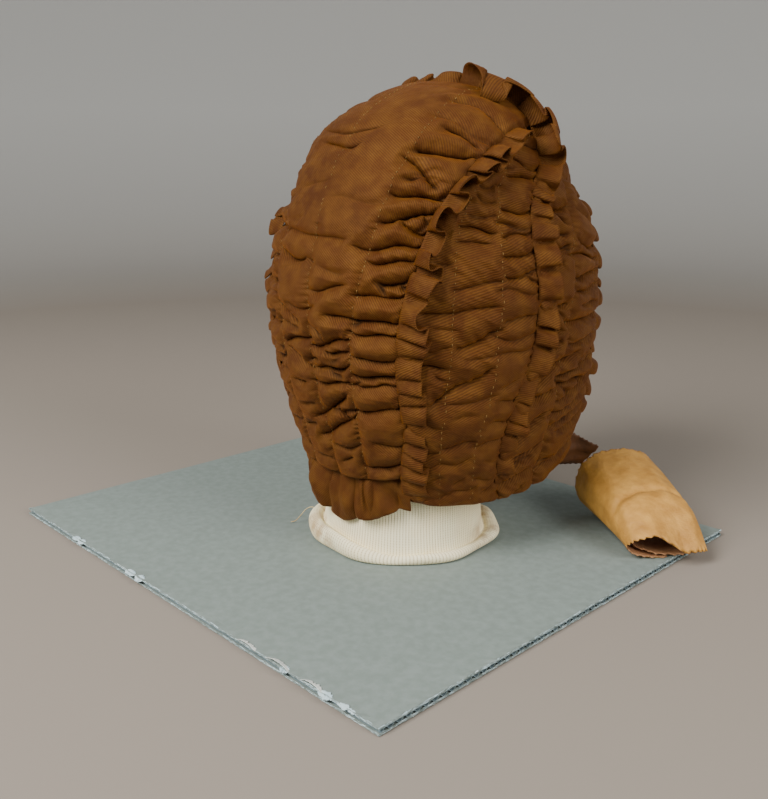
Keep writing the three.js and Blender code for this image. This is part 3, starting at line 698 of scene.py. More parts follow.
def frill_grid(root, normal, seed, pitch, height, full, lean, curl, loose, depth):
    """A gathered strip that stands on a seam. root and normal are fine rows of points along the seam."""
    random = np.random.default_rng(seed)
    seam = lengths_along(root)
    length = seam[-1]
    samples = int(length * FRILL_SAMPLES_PER_MM)
    reach, phase, valleys = flutes_along(random, length, pitch, samples)
    share = reach / length
    draws = [np.clip(random.normal(0, 1, len(valleys)), -1.4, 1.4) for _ in range(4)]
    uneven = [np.interp(reach, valleys, draw) for draw in draws]
    leans = np.radians(along_seam(lean, share) + 9 * uneven[0])
    heights = along_seam(height, share) * np.clip(1 + 0.17 * uneven[1], 0.65, 1.25)
    fulls = along_seam(full, share) * np.clip(1 + 0.4 * uneven[2], 0.3, 1.6)
    droops = FRILL_DROOP * (1 + 0.6 * uneven[3])
    curls = np.radians(along_seam(curl, share)) * (1 + 0.6 * uneven[3])
    stand, shift = flute(phase, along_seam(loose, share))
    shift = shift * along_seam(pitch, share)
    ahead = unit(np.gradient(root, axis=0))
    fade = np.clip(np.minimum(reach, length - reach) / 6, 0.3, 1)
    grid = np.empty((FRILL_ROWS + 1, samples, 3))
    for k in range(FRILL_ROWS + 1):
        t = k / FRILL_ROWS
        grow = 0.1 + 0.9 * math.sin(min(1.6 * t, 1.0) * math.pi / 2)
        here = np.clip(reach + (shift - droops * stand * t) * fade, 0, length)
        n = unit(at_reach(here, seam, normal))
        across = unit(np.cross(unit(at_reach(here, seam, ahead)), n))
        bend = leans - curls * t**2
        rise = n * np.cos(bend)[:, None] + across * np.sin(bend)[:, None]
        side = n * np.sin(bend)[:, None] - across * np.cos(bend)[:, None]
        lift = (heights * t * fade)[:, None]
        foot = -n * depth - across * FRILL_COVER * (1 - t)
        sway = side * (fulls * stand * grow * fade)[:, None]
        grid[k] = at_reach(here, seam, root) + foot + rise * lift + sway
    return grid, strip_cloth(grid, np.linspace(0, 1, FRILL_ROWS + 1)[:, None] * heights[None])


def seam_on_hood(line, low, high, samples):
    """Points along part of a seam on the hood's surface, and the surface's normals there."""
    raw = at_share(lines[line], np.linspace(low, high, samples))
    ray = unit(raw - HEAD_CENTRE)
    side = unit(np.cross(unit(np.gradient(raw, axis=0)), ray))
    middle = on_hood(raw)
    across = on_hood(raw + side * 2.5) - on_hood(raw - side * 2.5)
    return middle, faced(unit(np.cross(across, np.gradient(middle, axis=0))), ray)


# %% [markdown]
# Below the gathered nape the same silk runs out as a short, full frill. It is hung from the panel's
# lower edge, and its foot dips to a low point behind the right ear, as in the photograph.

# %% The nape frill's shape
NAPE_PITCH = 27.0
NAPE_FULL = 5.0
NAPE_DEPTH = 4.0
NAPE_FLARE = -2.0
NAPE_ROWS = 18
NAPE_SAMPLES = 600
NAPE_TAIL = np.array([-3.0, -1.6, 0.0])
NAPE_FEET = [(-1.0, 41), (-0.8, 40), (-0.5, 33), (-0.1, 25), (0.35, 31), (0.6, 42), (1.0, 48)]  # across, z
NAPE_LOWEST = 25.3


def nape_grid(seed):
    random = np.random.default_rng(seed)
    u = np.linspace(0.005, 0.995, NAPE_SAMPLES)
    block = back_place(np.stack([u, u]), np.repeat([[0.0], [0.004]], NAPE_SAMPLES, axis=1))
    root = block[0] + np.clip((0.06 - u) / 0.055, 0, 1)[:, None] * NAPE_TAIL
    length = np.linalg.norm(np.diff(root, axis=0), axis=1).sum()
    reach, phase, valleys = flutes_along(random, length, NAPE_PITCH, NAPE_SAMPLES)
    uneven = [np.interp(reach, valleys, random.normal(0, 1, len(valleys))) for _ in range(4)]
    stand = 1.05 - 1.15 * ((1 + np.sin(phase)) / 2) ** 2.6
    shift = flute(phase, 0.0)[1]
    normal = faced(unit(np.cross(np.gradient(root, axis=0), block[1] - block[0])), root - HEAD_CENTRE)
    outward = unit(normal * np.array([1.0, 1.0, 0.0]))
    ends = np.clip(np.minimum(reach, length - reach) / 12, 0, 1)
    feet = np.interp(2 * u - 1, *np.array(NAPE_FEET, float).T)
    feet = np.maximum(feet + 2.0 * uneven[0] - 1.5 * stand, NAPE_LOWEST)
    grid = np.empty((NAPE_ROWS + 1, NAPE_SAMPLES, 3))
    for k in range(NAPE_ROWS + 1):
        t = k / NAPE_ROWS
        grow = 0.3 + 0.7 * np.sin(np.pi * 0.6 * t)
        broad = np.sin(4.5 * t + 2.5 * uneven[1] + phase * 0.5) * np.sin(np.pi * t) ** 0.7
        small = np.sin(2.3 * phase + 5 * t + 3 * uneven[0]) * np.sin(np.pi * (0.12 + 0.8 * t))
        crumple = 1.5 * broad + 1.1 * small
        sweep = (8.0 * np.clip(uneven[2], -1, 1) + 2.0) * t * (0.3 + 0.7 * stand)
        here = np.clip(reach + (NAPE_PITCH * shift + sweep) * ends, 0, length)
        p = at_reach(here, reach, root) - normal * NAPE_DEPTH
        p[:, 2] = (p[:, 2] - FIT_GAP - 0.5) * (1 - t) + feet * t
        swell = NAPE_FULL * np.clip(1 + 0.4 * uneven[3], 0.35, 1.6) * stand * grow * (0.3 + 0.7 * ends)
        grid[k] = p + outward * (NAPE_FLARE * t + swell + crumple - 1.2)[:, None]
    fall = np.linalg.norm(grid[-1] - grid[0], axis=-1)
    return grid, strip_cloth(grid, np.linspace(0, 1, NAPE_ROWS + 1)[:, None] * fall[None])


# %% [markdown]
# Each front corner carries a tie: a short length of dark ribbon, and then its wide, rolled end. The
# edges of both are pinked, which is cut in small teeth so that the cloth doesn't fray.

# %% The ties' shapes
STRAP_ROWS = np.array([  # x, y, z, half width, tilt in degrees
    (-56.0, -66.0, 62.0, 14.0, 80.0), (-57.5, -82.0, 58.0, 14.0, 78.0),
    (-63.0, -97.0, 53.0, 13.5, 66.0), (-70.0, -107.5, 50.0, 13.0, 45.0),
])
ROLL_LENGTH = 80.0
ROLL_OPEN = (-143.0, -87.0)
ROLL_HEADING = math.radians(-34)
ROLL_TURNS = 1.7
ROLL_WIND_IN = 5.5
ROLL_OPEN_SIZE = (58.0, 30.0)
ROLL_FAR_SIZE = (64.0, 48.0)
RIBBON_THICKNESS = 0.7
TOOTH = 3.6
TOOTH_DEPTH = 2.4


def zigzag(reach):
    """Height of a pinked edge's teeth along the edge, from 0 to 1."""
    return np.abs(2 * ((reach / TOOTH) % 1.0) - 1)


def strap_grid(columns=26, rows=60):
    path = smooth_line(STRAP_ROWS[:, :3])
    v = np.linspace(0, 1, rows + 1)
    points = at_share(path, v)
    along = unit(np.gradient(points, axis=0))
    half, tilt = (np.interp(v, np.linspace(0, 1, len(STRAP_ROWS)), STRAP_ROWS[:, k]) for k in (3, 4))
    tilt = np.radians(tilt)
    level = unit(np.cross(along, UP))
    width = level * np.cos(tilt)[:, None] + np.cross(level, along) * np.sin(tilt)[:, None]
    face = np.cross(along, width)
    across = np.linspace(-1, 1, columns + 1)[:, None]
    reach = v * path[1][-1]
    teeth = 1 - TOOTH_DEPTH / half * zigzag(reach) * (np.abs(across) > 0.99)
    cup = 1.5 * (1 - across**2) + 0.7 * np.sin(3.1 * across + 5 * v) + 0.35 * np.sin(8 * across - 9 * v)
    grid = points[None] + width[None] * (across * half * teeth)[..., None] + face[None] * cup[..., None]
    return grid, np.stack(np.broadcast_arrays(across * half, reach), -1)


def roll_grid(columns=60, rows=330):
    """A ribbon wound loosely on itself, seen as an oval spiral that widens towards its far end."""
    axis = np.array([math.cos(ROLL_HEADING), math.sin(ROLL_HEADING), 0.0])
    side = np.array([-axis[1], axis[0], 0.0])
    s = np.linspace(0, 1, columns + 1)[:, None]
    turn = np.linspace(0, ROLL_TURNS, rows + 1)[None, :]
    angle = -np.pi / 2 + turn * 2 * np.pi
    over = np.clip(np.sin(angle), 0, 1)
    ripple = 0.8 * np.sin(5 * angle + 4 * s) * np.sin(np.pi * s) + 0.5 * np.sin(11 * angle - 7 * s)
    fold = np.exp(-(((s - 0.36 + 0.05 * np.cos(2 * angle)) / 0.03) ** 2)) * over
    loose = 0.4 + 0.6 * ripple * np.clip(turn * 3, 0, 1) + 3.0 * fold
    shrink = turn * ROLL_WIND_IN + RIBBON_THICKNESS / 2 + loose
    wide, tall = ((a * (1 - s) + b * s) / 2 for a, b in zip(ROLL_OPEN_SIZE, ROLL_FAR_SIZE))
    round_x, round_z = (np.sign(c) * np.abs(c) ** 0.85 for c in (np.cos(angle), np.sin(angle)))
    reach = np.cumsum(np.full(rows + 1, 0.52))[None, :]
    teeth = TOOTH_DEPTH / ROLL_LENGTH * zigzag(reach)
    hooded = 0.11 * over**0.7 * np.clip((1.0 - turn) / 0.15, 0, 1) * (1 - s) ** 2
    tucked = 0.07 * np.clip((turn - 1.05) / 0.1, 0, 1) * (1 - s)
    at = s - hooded + tucked + teeth * (s < 0.001) - teeth * (s > 0.999)
    near = np.clip(1 - s / 0.32, 0, 1) ** 1.7
    press = near * (0.42 + 0.58 * np.clip((0.45 - round_x) / 0.7, 0, 1))
    height = (tall + round_z * (tall - shrink * 0.72)) * (1 - 0.78 * press)
    aside = side * (round_x * (wide - shrink))[..., None]
    onward = axis * (ROLL_LENGTH * at)[..., None]
    grid = np.array([*ROLL_OPEN, FOOT]) + onward + aside + UP * height[..., None]
    return grid, np.stack(np.broadcast_arrays(at * ROLL_LENGTH, lengths_along(grid[columns // 2])), -1)


# %% [markdown]
# Every finish is a small network of nodes. One function adds a node with its settings and links, and
# one turns the sRGB colour that a person reads off a swatch into the linear colour that a shader needs.
# A texture's scale says how often it repeats in a metre, so it is worked out from a size in millimetres.

# %% Helpers for materials
WAVE_AT_ONE = 2 * math.pi / 20  # a wave texture's bands are this far apart at scale 1


def linear(hex_colour):
    """A linear RGBA colour from an sRGB hex string."""
    parts = [int(hex_colour[i:i + 2], 16) / 255 for i in (0, 2, 4)]
    return tuple(c / 12.92 if c <= 0.04045 else ((c + 0.055) / 1.055) ** 2.4 for c in parts) + (1.0,)


def fill_inputs(material, target, inputs):
    """Sets each input to a number, a tuple or a hex colour, or links it to another node's output."""
    for key, value in inputs.items():
        if isinstance(value, bpy.types.NodeSocket):
            material.node_tree.links.new(value, target.inputs[key])
        else:
            target.inputs[key].default_value = linear(value) if isinstance(value, str) else value


def node(material, kind, inputs=None, **settings):
    """Adds a node of that kind, and gives its outputs."""
    added = material.node_tree.nodes.new("ShaderNode" + kind)
    for key, value in settings.items():
        setattr(added, key, value)
    fill_inputs(material, added, inputs or {})
    return added.outputs


def new_material(name):
    """A new material, and the place of each point in the object."""
    material = bpy.data.materials.new(name)
    material.use_nodes = True
    return material, node(material, "TexCoord")["Object"]


def finished(material, looks):
    fill_inputs(material, material.node_tree.nodes["Principled BSDF"], looks)
    return material


def painted(material, colour, layers):
    """Lays colours over one: what decides where, its values for none and for most, the most, the colour."""
    for factor, none_at, most_at, most, tint in layers:
        levels = {"Value": factor, "From Min": none_at, "From Max": most_at, "To Max": most}
        amount = node(material, "MapRange", levels)[0]
        colour = node(material, "Mix", {0: amount, 6: colour, 7: tint}, data_type="RGBA")[2]
    return colour


# %% [markdown]
# The hood is a firm silk twill, dyed copper brown. A twill steps over by one thread in each row, so fine
# ridges run slantwise over it. The dye has faded unevenly: rubbed places are more orange. The floor
# of each crease is painted a nearly black purple brown, as painted shade. The real ridges are about
# 0.6 mm apart. They are drawn at 1.1 mm, because finer ones would be lost between the render's pixels.

# %% Twill silk
TWILL_PITCH = 1.1
TWILL_SLANT = math.radians(52)


def make_twill_silk():
    m, place = new_material("twill silk")
    cloth = node(m, "UVMap", uv_map="cloth")["UV"]
    slant = node(m, "Mapping", {"Vector": cloth, "Rotation": (0, 0, TWILL_SLANT)})["Vector"]
    wide = node(m, "Mapping", {"Vector": cloth, "Scale": (0.45, 1.0, 1.0)})["Vector"]
    ridges = node(m, "TexWave", {"Vector": slant, "Scale": WAVE_AT_ONE / (TWILL_PITCH * MM),
                                 "Distortion": 0.6, "Detail": 1.0, "Detail Scale": 2.0})["Fac"]
    patches = ((place, 38, 4, 0.55), (place, 9, 5, 0.6), (wide, 5.0, 3, 0.55), (cloth, 0.9, 2, 0.55))
    blotches, faded, wrinkles, nap = [
        node(m, "TexNoise", {"Vector": v, "Scale": 1 / (size * MM), "Detail": d, "Roughness": r})["Fac"]
        for v, size, d, r in patches
    ]
    # painted shade: the crease attribute darkens the floor of each crease nearly to black
    depth = node(m, "Attribute", attribute_name="crease")["Fac"]
    colour = painted(m, "482811", [
        (blotches, 0.36, 0.66, 1.0, "553112"),  # the dye lies unevenly
        (faded, 0.38, 0.7, 1.0, "67431a"),  # rubbed places are more orange
        (ridges, 0.1, 0.9, 0.5, "2a1210"),  # one side of each ridge is darker
        (depth, 0.12, 0.75, 0.9, "0a0608"),  # little light reaches the floor of a crease
    ])
    normal = node(m, "Bump", {"Height": wrinkles, "Distance": 1.3 * MM, "Strength": 0.7})[0]
    normal = node(m, "Bump", {"Height": nap, "Distance": 0.10 * MM, "Strength": 0.5, "Normal": normal})[0]
    normal = node(m, "Bump", {"Height": ridges, "Distance": 0.18 * MM, "Strength": 0.8, "Normal": normal})[0]
    sheen = {"Sheen Weight": 0.22, "Sheen Roughness": 0.4, "Sheen Tint": "d97f1c"}
    shine = {"Specular IOR Level": 0.3, "Specular Tint": "f0b880"}
    return finished(m, {"Roughness": 0.62, "Base Color": colour, "Normal": normal, **sheen, **shine})


# %% [markdown]
# The stockinette is machine-knitted cream cotton. Its columns of stitches are about 1.8 mm apart, and
# each is a row of small loops, so fine dark points show between them. The rim has picked up tan stains
# at its left and right ends.

# %% Knit
WALE_PITCH = 1.783
COURSE_PITCH = 1.4


def make_knit():
    m, place = new_material("cream cotton knit")
    cloth = node(m, "UVMap", uv_map="cloth")["UV"]
    wales = node(m, "TexWave", {"Vector": cloth, "Scale": WAVE_AT_ONE / (WALE_PITCH * MM)})["Fac"]
    courses = node(m, "TexWave", {"Vector": cloth, "Scale": WAVE_AT_ONE / (COURSE_PITCH * MM),
                                  "Distortion": 0.5, "Detail": 0.0}, bands_direction="Y")["Fac"]
    drift, blots, uneven = [
        node(m, "TexNoise", {"Vector": place, "Scale": 1 / (size * MM), "Detail": d, "Roughness": r})["Fac"]
        for size, d, r in ((22, 3, 0.55), (13, 4, 0.6), (3.0, 3, 0.55))
    ]
    x, y, z = node(m, "SeparateXYZ", {"Vector": place})
    across = node(m, "Math", {0: x, 1: y}, operation="ADD")[0]
    aside = node(m, "Math", {0: across, 1: NECK[0] + NECK[1]}, operation="SUBTRACT")[0]
    far = node(m, "Math", {0: aside}, operation="ABSOLUTE")[0]
    between_wales, between_courses, low, ends, spots = [
        node(m, "MapRange", {"Value": v, "From Min": a, "From Max": b, "To Min": c, "To Max": d})[0]
        for v, a, b, c, d in ((wales, 0.4, 0.0, 0.0, 1.0), (courses, 0.7, 0.1, 0.35, 1.0),
                              (z, 0.022, 0.015, 0.0, 1.0), (far, 0.054, 0.072, 0.0, 1.0),
                              (blots, 0.42, 0.62, 0.0, 0.7))
    ]
    loops = node(m, "Math", {0: between_wales, 1: between_courses}, operation="MULTIPLY")[0]
    rim = node(m, "Math", {0: low, 1: ends}, operation="MULTIPLY")[0]
    stain = node(m, "Math", {0: rim, 1: spots}, operation="MULTIPLY")[0]
    colour = painted(m, "fdf0c8", [
        (drift, 0.35, 0.7, 1.0, "fff8d6"),  # cotton yellows a little unevenly
        (loops, 0.0, 1.0, 1.0, "d3c293"),  # shade lies between the loops
        (stain, 0.0, 1.0, 1.0, "a8814f"),  # the rim's tan stains
    ])
    normal = node(m, "Bump", {"Height": uneven, "Distance": 0.5 * MM, "Strength": 0.6})[0]
    normal = node(m, "Bump", {"Height": loops, "Distance": -0.35 * MM, "Strength": 0.8, "Normal": normal})[0]
    return finished(m, {"Roughness": 0.9, "Base Color": colour, "Normal": normal})


# %% [markdown]
# The other finishes are plain-woven cotton and silk, card, paper and thread. They differ in colour, in
# how matt they are, and in the size of what breaks up their surface, so one function makes them all
# from a table.

# %% Plainer finishes
def make_plain(name, dark, light, roughness, patch, weave, creased):
    """A plain-woven or paper finish: a colour that drifts between two, and a fine weave or grain."""
    m, place = new_material(name)
    drift, grain, soft = [
        node(m, "TexNoise", {"Vector": place, "Scale": 1 / (size * MM), "Detail": d, "Roughness": r})["Fac"]
        for size, d, r in ((patch, 4, 0.55), (1.0, 3, 0.55), (7.0, 4, 0.6))
    ]
    normal = node(m, "Bump", {"Height": grain, "Distance": 0.08 * MM, "Strength": 0.5})[0]
    if creased:
        relief = {"Height": soft, "Distance": creased * MM, "Strength": 0.8, "Normal": normal}
        normal = node(m, "Bump", relief)[0]
    if weave:
        bands = {"Vector": node(m, "UVMap", uv_map="cloth")["UV"], "Scale": WAVE_AT_ONE / (weave * MM)}
        warp, weft = (node(m, "TexWave", bands, bands_direction=way)["Fac"] for way in "XY")
        crossed = node(m, "Math", {0: warp, 1: weft}, operation="MULTIPLY")[0]
        relief = {"Height": crossed, "Distance": 0.1 * MM, "Strength": 0.6, "Normal": normal}
        normal = node(m, "Bump", relief)[0]
    colour = painted(m, dark, [(drift, 0.35, 0.68, 1.0, light)])
    return finished(m, {"Roughness": roughness, "Base Color": colour, "Normal": normal})


PLAIN = [
    # name, its two colours, roughness, and in millimetres: the patches, the weave's pitch, the creases
    ("brown cotton lining", "4a2d1a", "5d3b22", 0.85, 22, 1.2, 0),  # matt, so the silk looks brighter
    ("dark brown ribbon", "48290f", "613a1b", 0.6, 10, 1.0, 0.8),  # smooth and softly creased
    ("tan silk ribbon", "b07d34", "cf9b49", 0.6, 12, 1.0, 1.6),  # golden, and crumpled
    ("ribbon's faded inside", "a37550", "b98a62", 0.65, 18, 1.0, 1.0),  # duller and pinker
    ("cotton cover", "d6cfbd", "e2dccb", 0.85, 30, 1.3, 0),  # unbleached, so off-white and matt
    ("grey-blue card", "78847f", "828e8a", 0.8, 5, 0, 0),  # an even colour with a fine fibre grain
    # painted shade: the core is coloured darker than the liners, as shade where it lies inside the sheet
    ("card core with painted shade", "63757c", "7f9298", 0.9, 8, 0, 0),  # darker, as it lies inside the sheet
    ("cut paper edge", "b2c9d1", "c8dade", 0.9, 6, 0, 0),  # paler, where the fibres have been cut
    ("torn paper", "c9d0cd", "e3e6e0", 0.9, 5, 0, 0),  # nearly white, where the fibres have parted
    ("yellow stitching thread", "6f5220", "96753a", 0.6, 6, 0, 0),  # a dull yellow on the brown silk
]
silk = make_twill_silk()
knit = make_knit()
(lining, dark_ribbon, tan_ribbon, ribbon_inside, cover,
 card, card_core, cut_paper, torn_paper, thread) = [make_plain(*row) for row in PLAIN]
print("made", len(bpy.data.materials), "materials")


# %% [markdown]
# The quilted panels are padded pieces: a gathered outer skin, a layer of wadding, and a cotton lining
# on the inside, all one closed wall. Each channel has a table of how far apart and how deep its creases
# are from nape to crown, how deep its stitches pull, and how much the cloth puckers at them.

# %% Panels
WALL_DEPTH = 9.0
NAPE_WALL_DEPTH = 6.5
NAPE_WALL_FROM = 50.0
NAPE_WALL_TO = 95.0
LINING_STEP = 8


def on_its_side(points, name):
    """The points, mirrored where the name says that they are the left side's."""
    return points * MIRROR if "left" in name else points


def make_panel(node_name, formed):
    every = (slice(None, None, LINING_STEP), slice(None, None, LINING_STEP))
    base = formed["base"][every]
    low = ramp(base[..., 2], NAPE_WALL_FROM, NAPE_WALL_TO)
    depth = NAPE_WALL_DEPTH + (WALL_DEPTH - NAPE_WALL_DEPTH) * low
    inner = base - formed["normal"][every] * depth[..., None]
    cloth = formed["cloth"]
    points, faces, cloth, inner_from = closed_shell(formed["skin"], inner, cloth, cloth[every])
    shade = np.concatenate([formed["shade"].ravel(), np.zeros(inner[..., 0].size)])
    piece = new_piece(node_name + "_cloth", on_its_side(points, node_name), faces, cloth, [silk, lining],
                      node_name, inner_from, shade)


outer_channel = {
    "drawn": [(0, 17, 2.2), (0.22, 19, 2.2), (0.33, 11, 4.5), (0.6, 13, 5), (0.85, 20, 2.5), (1, 24, 1.5)],
    "stitch": [(0, 1.0), (0.5, 0.8), (0.7, 0.3), (1, 0.2)],
    "pucker": [(0, 1), (0.6, 0.7), (0.8, 0.2), (1, 0)],
    "slant": 1,
}
inner_channel = {
    "drawn": [(0, 15, 2.6), (0.12, 15, 2.8), (0.2, 12, 4), (0.35, 12, 4), (0.5, 20, 1.4),
              (0.7, 32, 0.9), (1, 60, 0.6)],
    "stitch": [(0, 1.0), (0.4, 0.7), (0.6, 0.25), (1, 0.2)],
    "pucker": [(0, 1), (0.4, 0.7), (0.6, 0.2), (1, 0)],
}
side_channel = {
    "drawn": [(0, 9, 1.8), (0.4, 15, 1.8), (0.7, 14, 2.4), (1, 11, 3)],
    "stitch": [(0, 0.3), (0.5, 0.3), (1, 0.4)],
    "pucker": [(0, 0.3), (0.5, 0.3), (1, 0.6)],
    "slant": 8,
}
band_channel = {
    "drawn": [(0, 9, 6), (0.25, 11, 6), (0.42, 20, 3), (0.58, 20, 3), (0.75, 11, 6), (1, 9, 6)],
    "stitch": [(0, 1.2), (0.4, 0.7), (0.6, 0.7), (1, 1.2)],
    "slant": 10,
}

# Creases that show: channels across, percent up, the same for the other end, and the depth in millimetres.
BACK_CREASES = [
    (0.1, 80, 0.85, 80, 3.5), (0.05, 78, 1, 72.5, 6), (0.2, 67, 1.1, 71, 4.5), (0, 65.5, 1, 63, 6),
    (0, 62.5, 1, 57, 6), (0, 55, 1.3, 51.8, 5.5), (0, 51.5, 1, 49.5, 4), (0, 47.5, 0.7, 45.5, 5.5),
    (0, 44.3, 1.1, 42.5, 6.5), (0, 38.3, 1.6, 37.8, 5.5), (0, 35.6, 1.1, 35.3, 5),
    (0, 30.5, 1, 30, 3.5), (0, 26.8, 1, 26.2, 5), (0, 24.3, 1, 24, 4.5), (0, 19.3, 1.2, 17, 6),
    (0, 4.5, 1, 3, 4), (1, 33.5, 2, 31, 6.5), (1, 28, 2, 26, 5), (1, 24.2, 2.1, 23, 4.5),
    (1.1, 21.5, 2.25, 14, 8.5), (1, 16.5, 2.3, 9.5, 6.5), (1, 8.5, 1.9, 7.5, 2.5),
    (1.3, 53, 2.8, 54.5, 2.2), (1.2, 44, 2, 42.5, 3), (1.7, 73.2, 2.6, 73.8, 4),
    (1.5, 77.2, 2.8, 77.2, 2.6), (1.2, 46.5, 1.9, 46.8, 1.6), (2, 26, 2.8, 29.5, 5),
    (2.2, 35.5, 3.1, 39.5, 5), (2.1, 48.5, 3, 50, 4), (2.2, 89.5, 3.2, 91, 2.2),
]
SIDE_CREASES = [
    (1.1, 40, 2, 47, 6), (0.6, 27, 1.95, 37.5, 6), (0.2, 46, 2, 52, 3), (0.1, 34.5, 1, 36, 4),
    (0.9, 16.5, 2, 19.5, 2.2), (0.2, 11, 1.9, 14.5, 1.6), (0.9, 66, 2, 67.8, 3.5),
    (0.9, 62, 1.9, 65, 2.5), (0.9, 52, 2.1, 57.5, 2.5), (2, 62.5, 3, 66.8, 4.5), (2, 67, 3, 71.5, 4),
    (2, 73.5, 3, 77, 4.5), (2, 58, 3, 62, 4), (2, 48, 3, 51.5, 2.5), (2, 83.5, 3, 88, 4),
    (0, 71, 1.1, 73, 3.5),
]
BAND_CREASES = [
    (0, 6.5, 0.8, 9.5, 6.5), (0.1, 4, 1, 6.5, 5), (0.2, 12.5, 1.3, 16, 6), (0, 15.5, 0.7, 17, 6),
    (0, 18.5, 1, 21.5, 4.5), (0, 25, 0.9, 27, 6), (0, 28.5, 1, 31.5, 5), (0, 33, 1, 35.5, 4.5),
    (1, 10, 1.9, 13, 5.5), (1, 23.5, 1.9, 25.5, 5.5), (0.03, 35, 0.4, 44.5, 9), (0.25, 33, 0.6, 41, 7),
]

def other_side(creases, across, jitter, seed):
    """The same kind of creases for the side that the photograph doesn't show, moved a little."""
    random = np.random.default_rng(seed)
    moved = []
    for a, b, c, d, deep in creases:
        up = random.normal(0, jitter)
        moved.append((across - c, d + up, across - a, b + up, deep * random.uniform(0.7, 1.1)))
    return moved


back_creases = BACK_CREASES + other_side([r for r in BACK_CREASES if r[2] < 1.4], 4, 1.5, 31)
band_creases = BAND_CREASES + [(a, 100 - b, c, 100 - d, deep) for a, b, c, d, deep in BAND_CREASES]
left_creases = [(a, b + 2.0 * math.sin(b), c, d + 2.0 * math.sin(b), deep)
                for a, b, c, d, deep in SIDE_CREASES]
PANELS = {  # place, channels, columns in each, rows, creases, seed
    "back_panel": (back_place, [outer_channel, inner_channel, inner_channel, outer_channel], 32, 480,
                   back_creases, 5),
    "side_panel_right": (side_place, [side_channel] * 3, 20, 400, SIDE_CREASES, 7),
    "side_panel_left": (side_place, [side_channel] * 3, 20, 400, left_creases, 8),
    "front_band": (band_place, [band_channel] * 2, 36, 960, band_creases, 11),
}
forms = {panel_name: gathered_panel(*measures) for panel_name, measures in PANELS.items()}
for panel_name, form in forms.items():
    make_panel(panel_name, form)


# %% [markdown]
# Frills and ties are single sheets of cloth. Each is a grid of points with a thin wall about it. The
# tables give each frill's measures as rows of (share of its seam, value), read off the photograph for
# the right side. The lower back frill is a tight ladder of pleats, and the upper one opens into cups.
# The crown frill curls into two tall loops at the right, and lies low over the middle of the head.

# %% Frills and ties as sheets
CLOTH_THICKNESS = 0.55


def make_sheet(node_name, ending, grid, cloth, materials, slot, held, rests_on, thickness=CLOTH_THICKNESS):
    """A thin closed sheet that stands for a CAD node. Its flat size is measured on its own cloth."""
    side = normals_of(grid) * thickness / 2
    points, faces, uv, inner_from = closed_shell(grid + side, grid - side, cloth, cloth)
    piece = new_piece(f"{node_name}_{ending}", on_its_side(points, node_name), faces, uv, materials,
                      node_name, inner_from)


BACK_FRILL = {
    "pitch": [(0, 8), (0.42, 9), (0.55, 16), (0.85, 19), (1, 13)],
    "height": [(0, 13), (0.45, 13.5), (0.7, 14), (1, 13)],
    "full": [(0, 2.8), (0.42, 3.0), (0.6, 4.6), (0.85, 4.8), (1, 3.4)],
    "lean": [(0, 84), (0.4, 80), (0.6, 60), (0.85, 56), (1, 66)],
    "loose": [(0, 0), (0.45, 0.15), (0.56, 1), (0.9, 1), (1, 0.5)],
    "curl": [(0, -4), (0.42, 4), (0.55, 26), (1, 20)],
    "depth": 1.2,
}
LEFT_FRILL = {
    "pitch": [(0, 9), (0.45, 12), (0.6, 17), (1, 15)],
    "height": [(0, 8), (0.4, 9), (0.52, 12), (1, 12)],
    "full": [(0, 0.9), (0.42, 1.3), (0.55, 2.0), (0.9, 2.2), (1, 1.8)],
    "lean": [(0, 90), (0.42, 89), (0.54, 80), (0.9, 72), (1, 80)],
    "loose": [(0, 0.4), (0.45, 0.5), (0.6, 0.9), (1, 0.8)],
    "curl": [(0, 0), (0.45, 0), (0.6, 18), (1, 14)],
    "depth": 1.6,
}
CROWN_FRILL = {
    "pitch": [(0, 12), (0.3, 16), (0.35, 24), (0.445, 22), (0.46, 11), (0.6, 14), (0.7, 17), (1, 12)],
    "height": [(0, 12), (0.31, 13), (0.35, 16), (0.44, 15), (0.46, 7), (0.54, 7), (0.6, 11), (1, 12)],
    "full": [(0, 2.6), (0.32, 3.0), (0.36, 3.4), (0.44, 3.4), (0.46, 1.6), (0.6, 2.0), (1, 2.2)],
    "lean": [(0, 84), (0.32, 78), (0.36, 62), (0.44, 52), (0.46, 80), (0.54, 82), (0.6, 84), (1, 86)],
    "loose": [(0, 0.3), (0.32, 0.4), (0.36, 1.0), (0.445, 1.0), (0.46, 0.6), (1, 0.3)],
    "curl": [(0, 6), (0.31, 16), (0.36, 74), (0.44, 78), (0.46, 10), (1, 0)],
    "depth": 1.3,
}
FACE_FRILL = {"pitch": 12, "height": 10.8, "full": 2.4, "lean": 84, "loose": 0.3, "curl": 0, "depth": 1.6}
FRILLS = [
    # node, its seam, from and to which share of it, samples, seed, measures, what it rests on
    ("back_frill_right", "back_seam", 0.0, 0.95, 900, 21, BACK_FRILL, "back_panel_cloth"),
    ("back_frill_left", "back_seam", 0.0, 0.95, 900, 22, LEFT_FRILL, "back_panel_cloth"),
    ("crown_frill", "crown_seam", 0.02, 0.98, 1600, 23, CROWN_FRILL, "front_band_cloth"),
    ("face_frill", "face_edge", 0.03, 0.97, 1400, 24, FACE_FRILL, "front_band_cloth"),
]
for frill_name, seam_name, low, high, samples, seed, measures, panel_name in FRILLS:
    strip = frill_grid(*seam_on_hood(seam_name, low, high, samples), seed, **measures)
    make_sheet(frill_name, "cloth", *strip, [silk], "silk", "gathered", [panel_name])
make_sheet("nape_frill", "cloth", *nape_grid(25), [silk], "silk", "gathered", ["back_panel_cloth"])
for side_name in ("right", "left"):
    make_sheet("tie_strap_" + side_name, "ribbon", *strap_grid(), [dark_ribbon], "strap", "hung",
               ["front_band_cloth"], RIBBON_THICKNESS)
    make_sheet("tie_roll_" + side_name, "ribbon", *roll_grid(), [ribbon_inside, tan_ribbon], "ribbon",
               "folded", ["card_top"], RIBBON_THICKNESS)


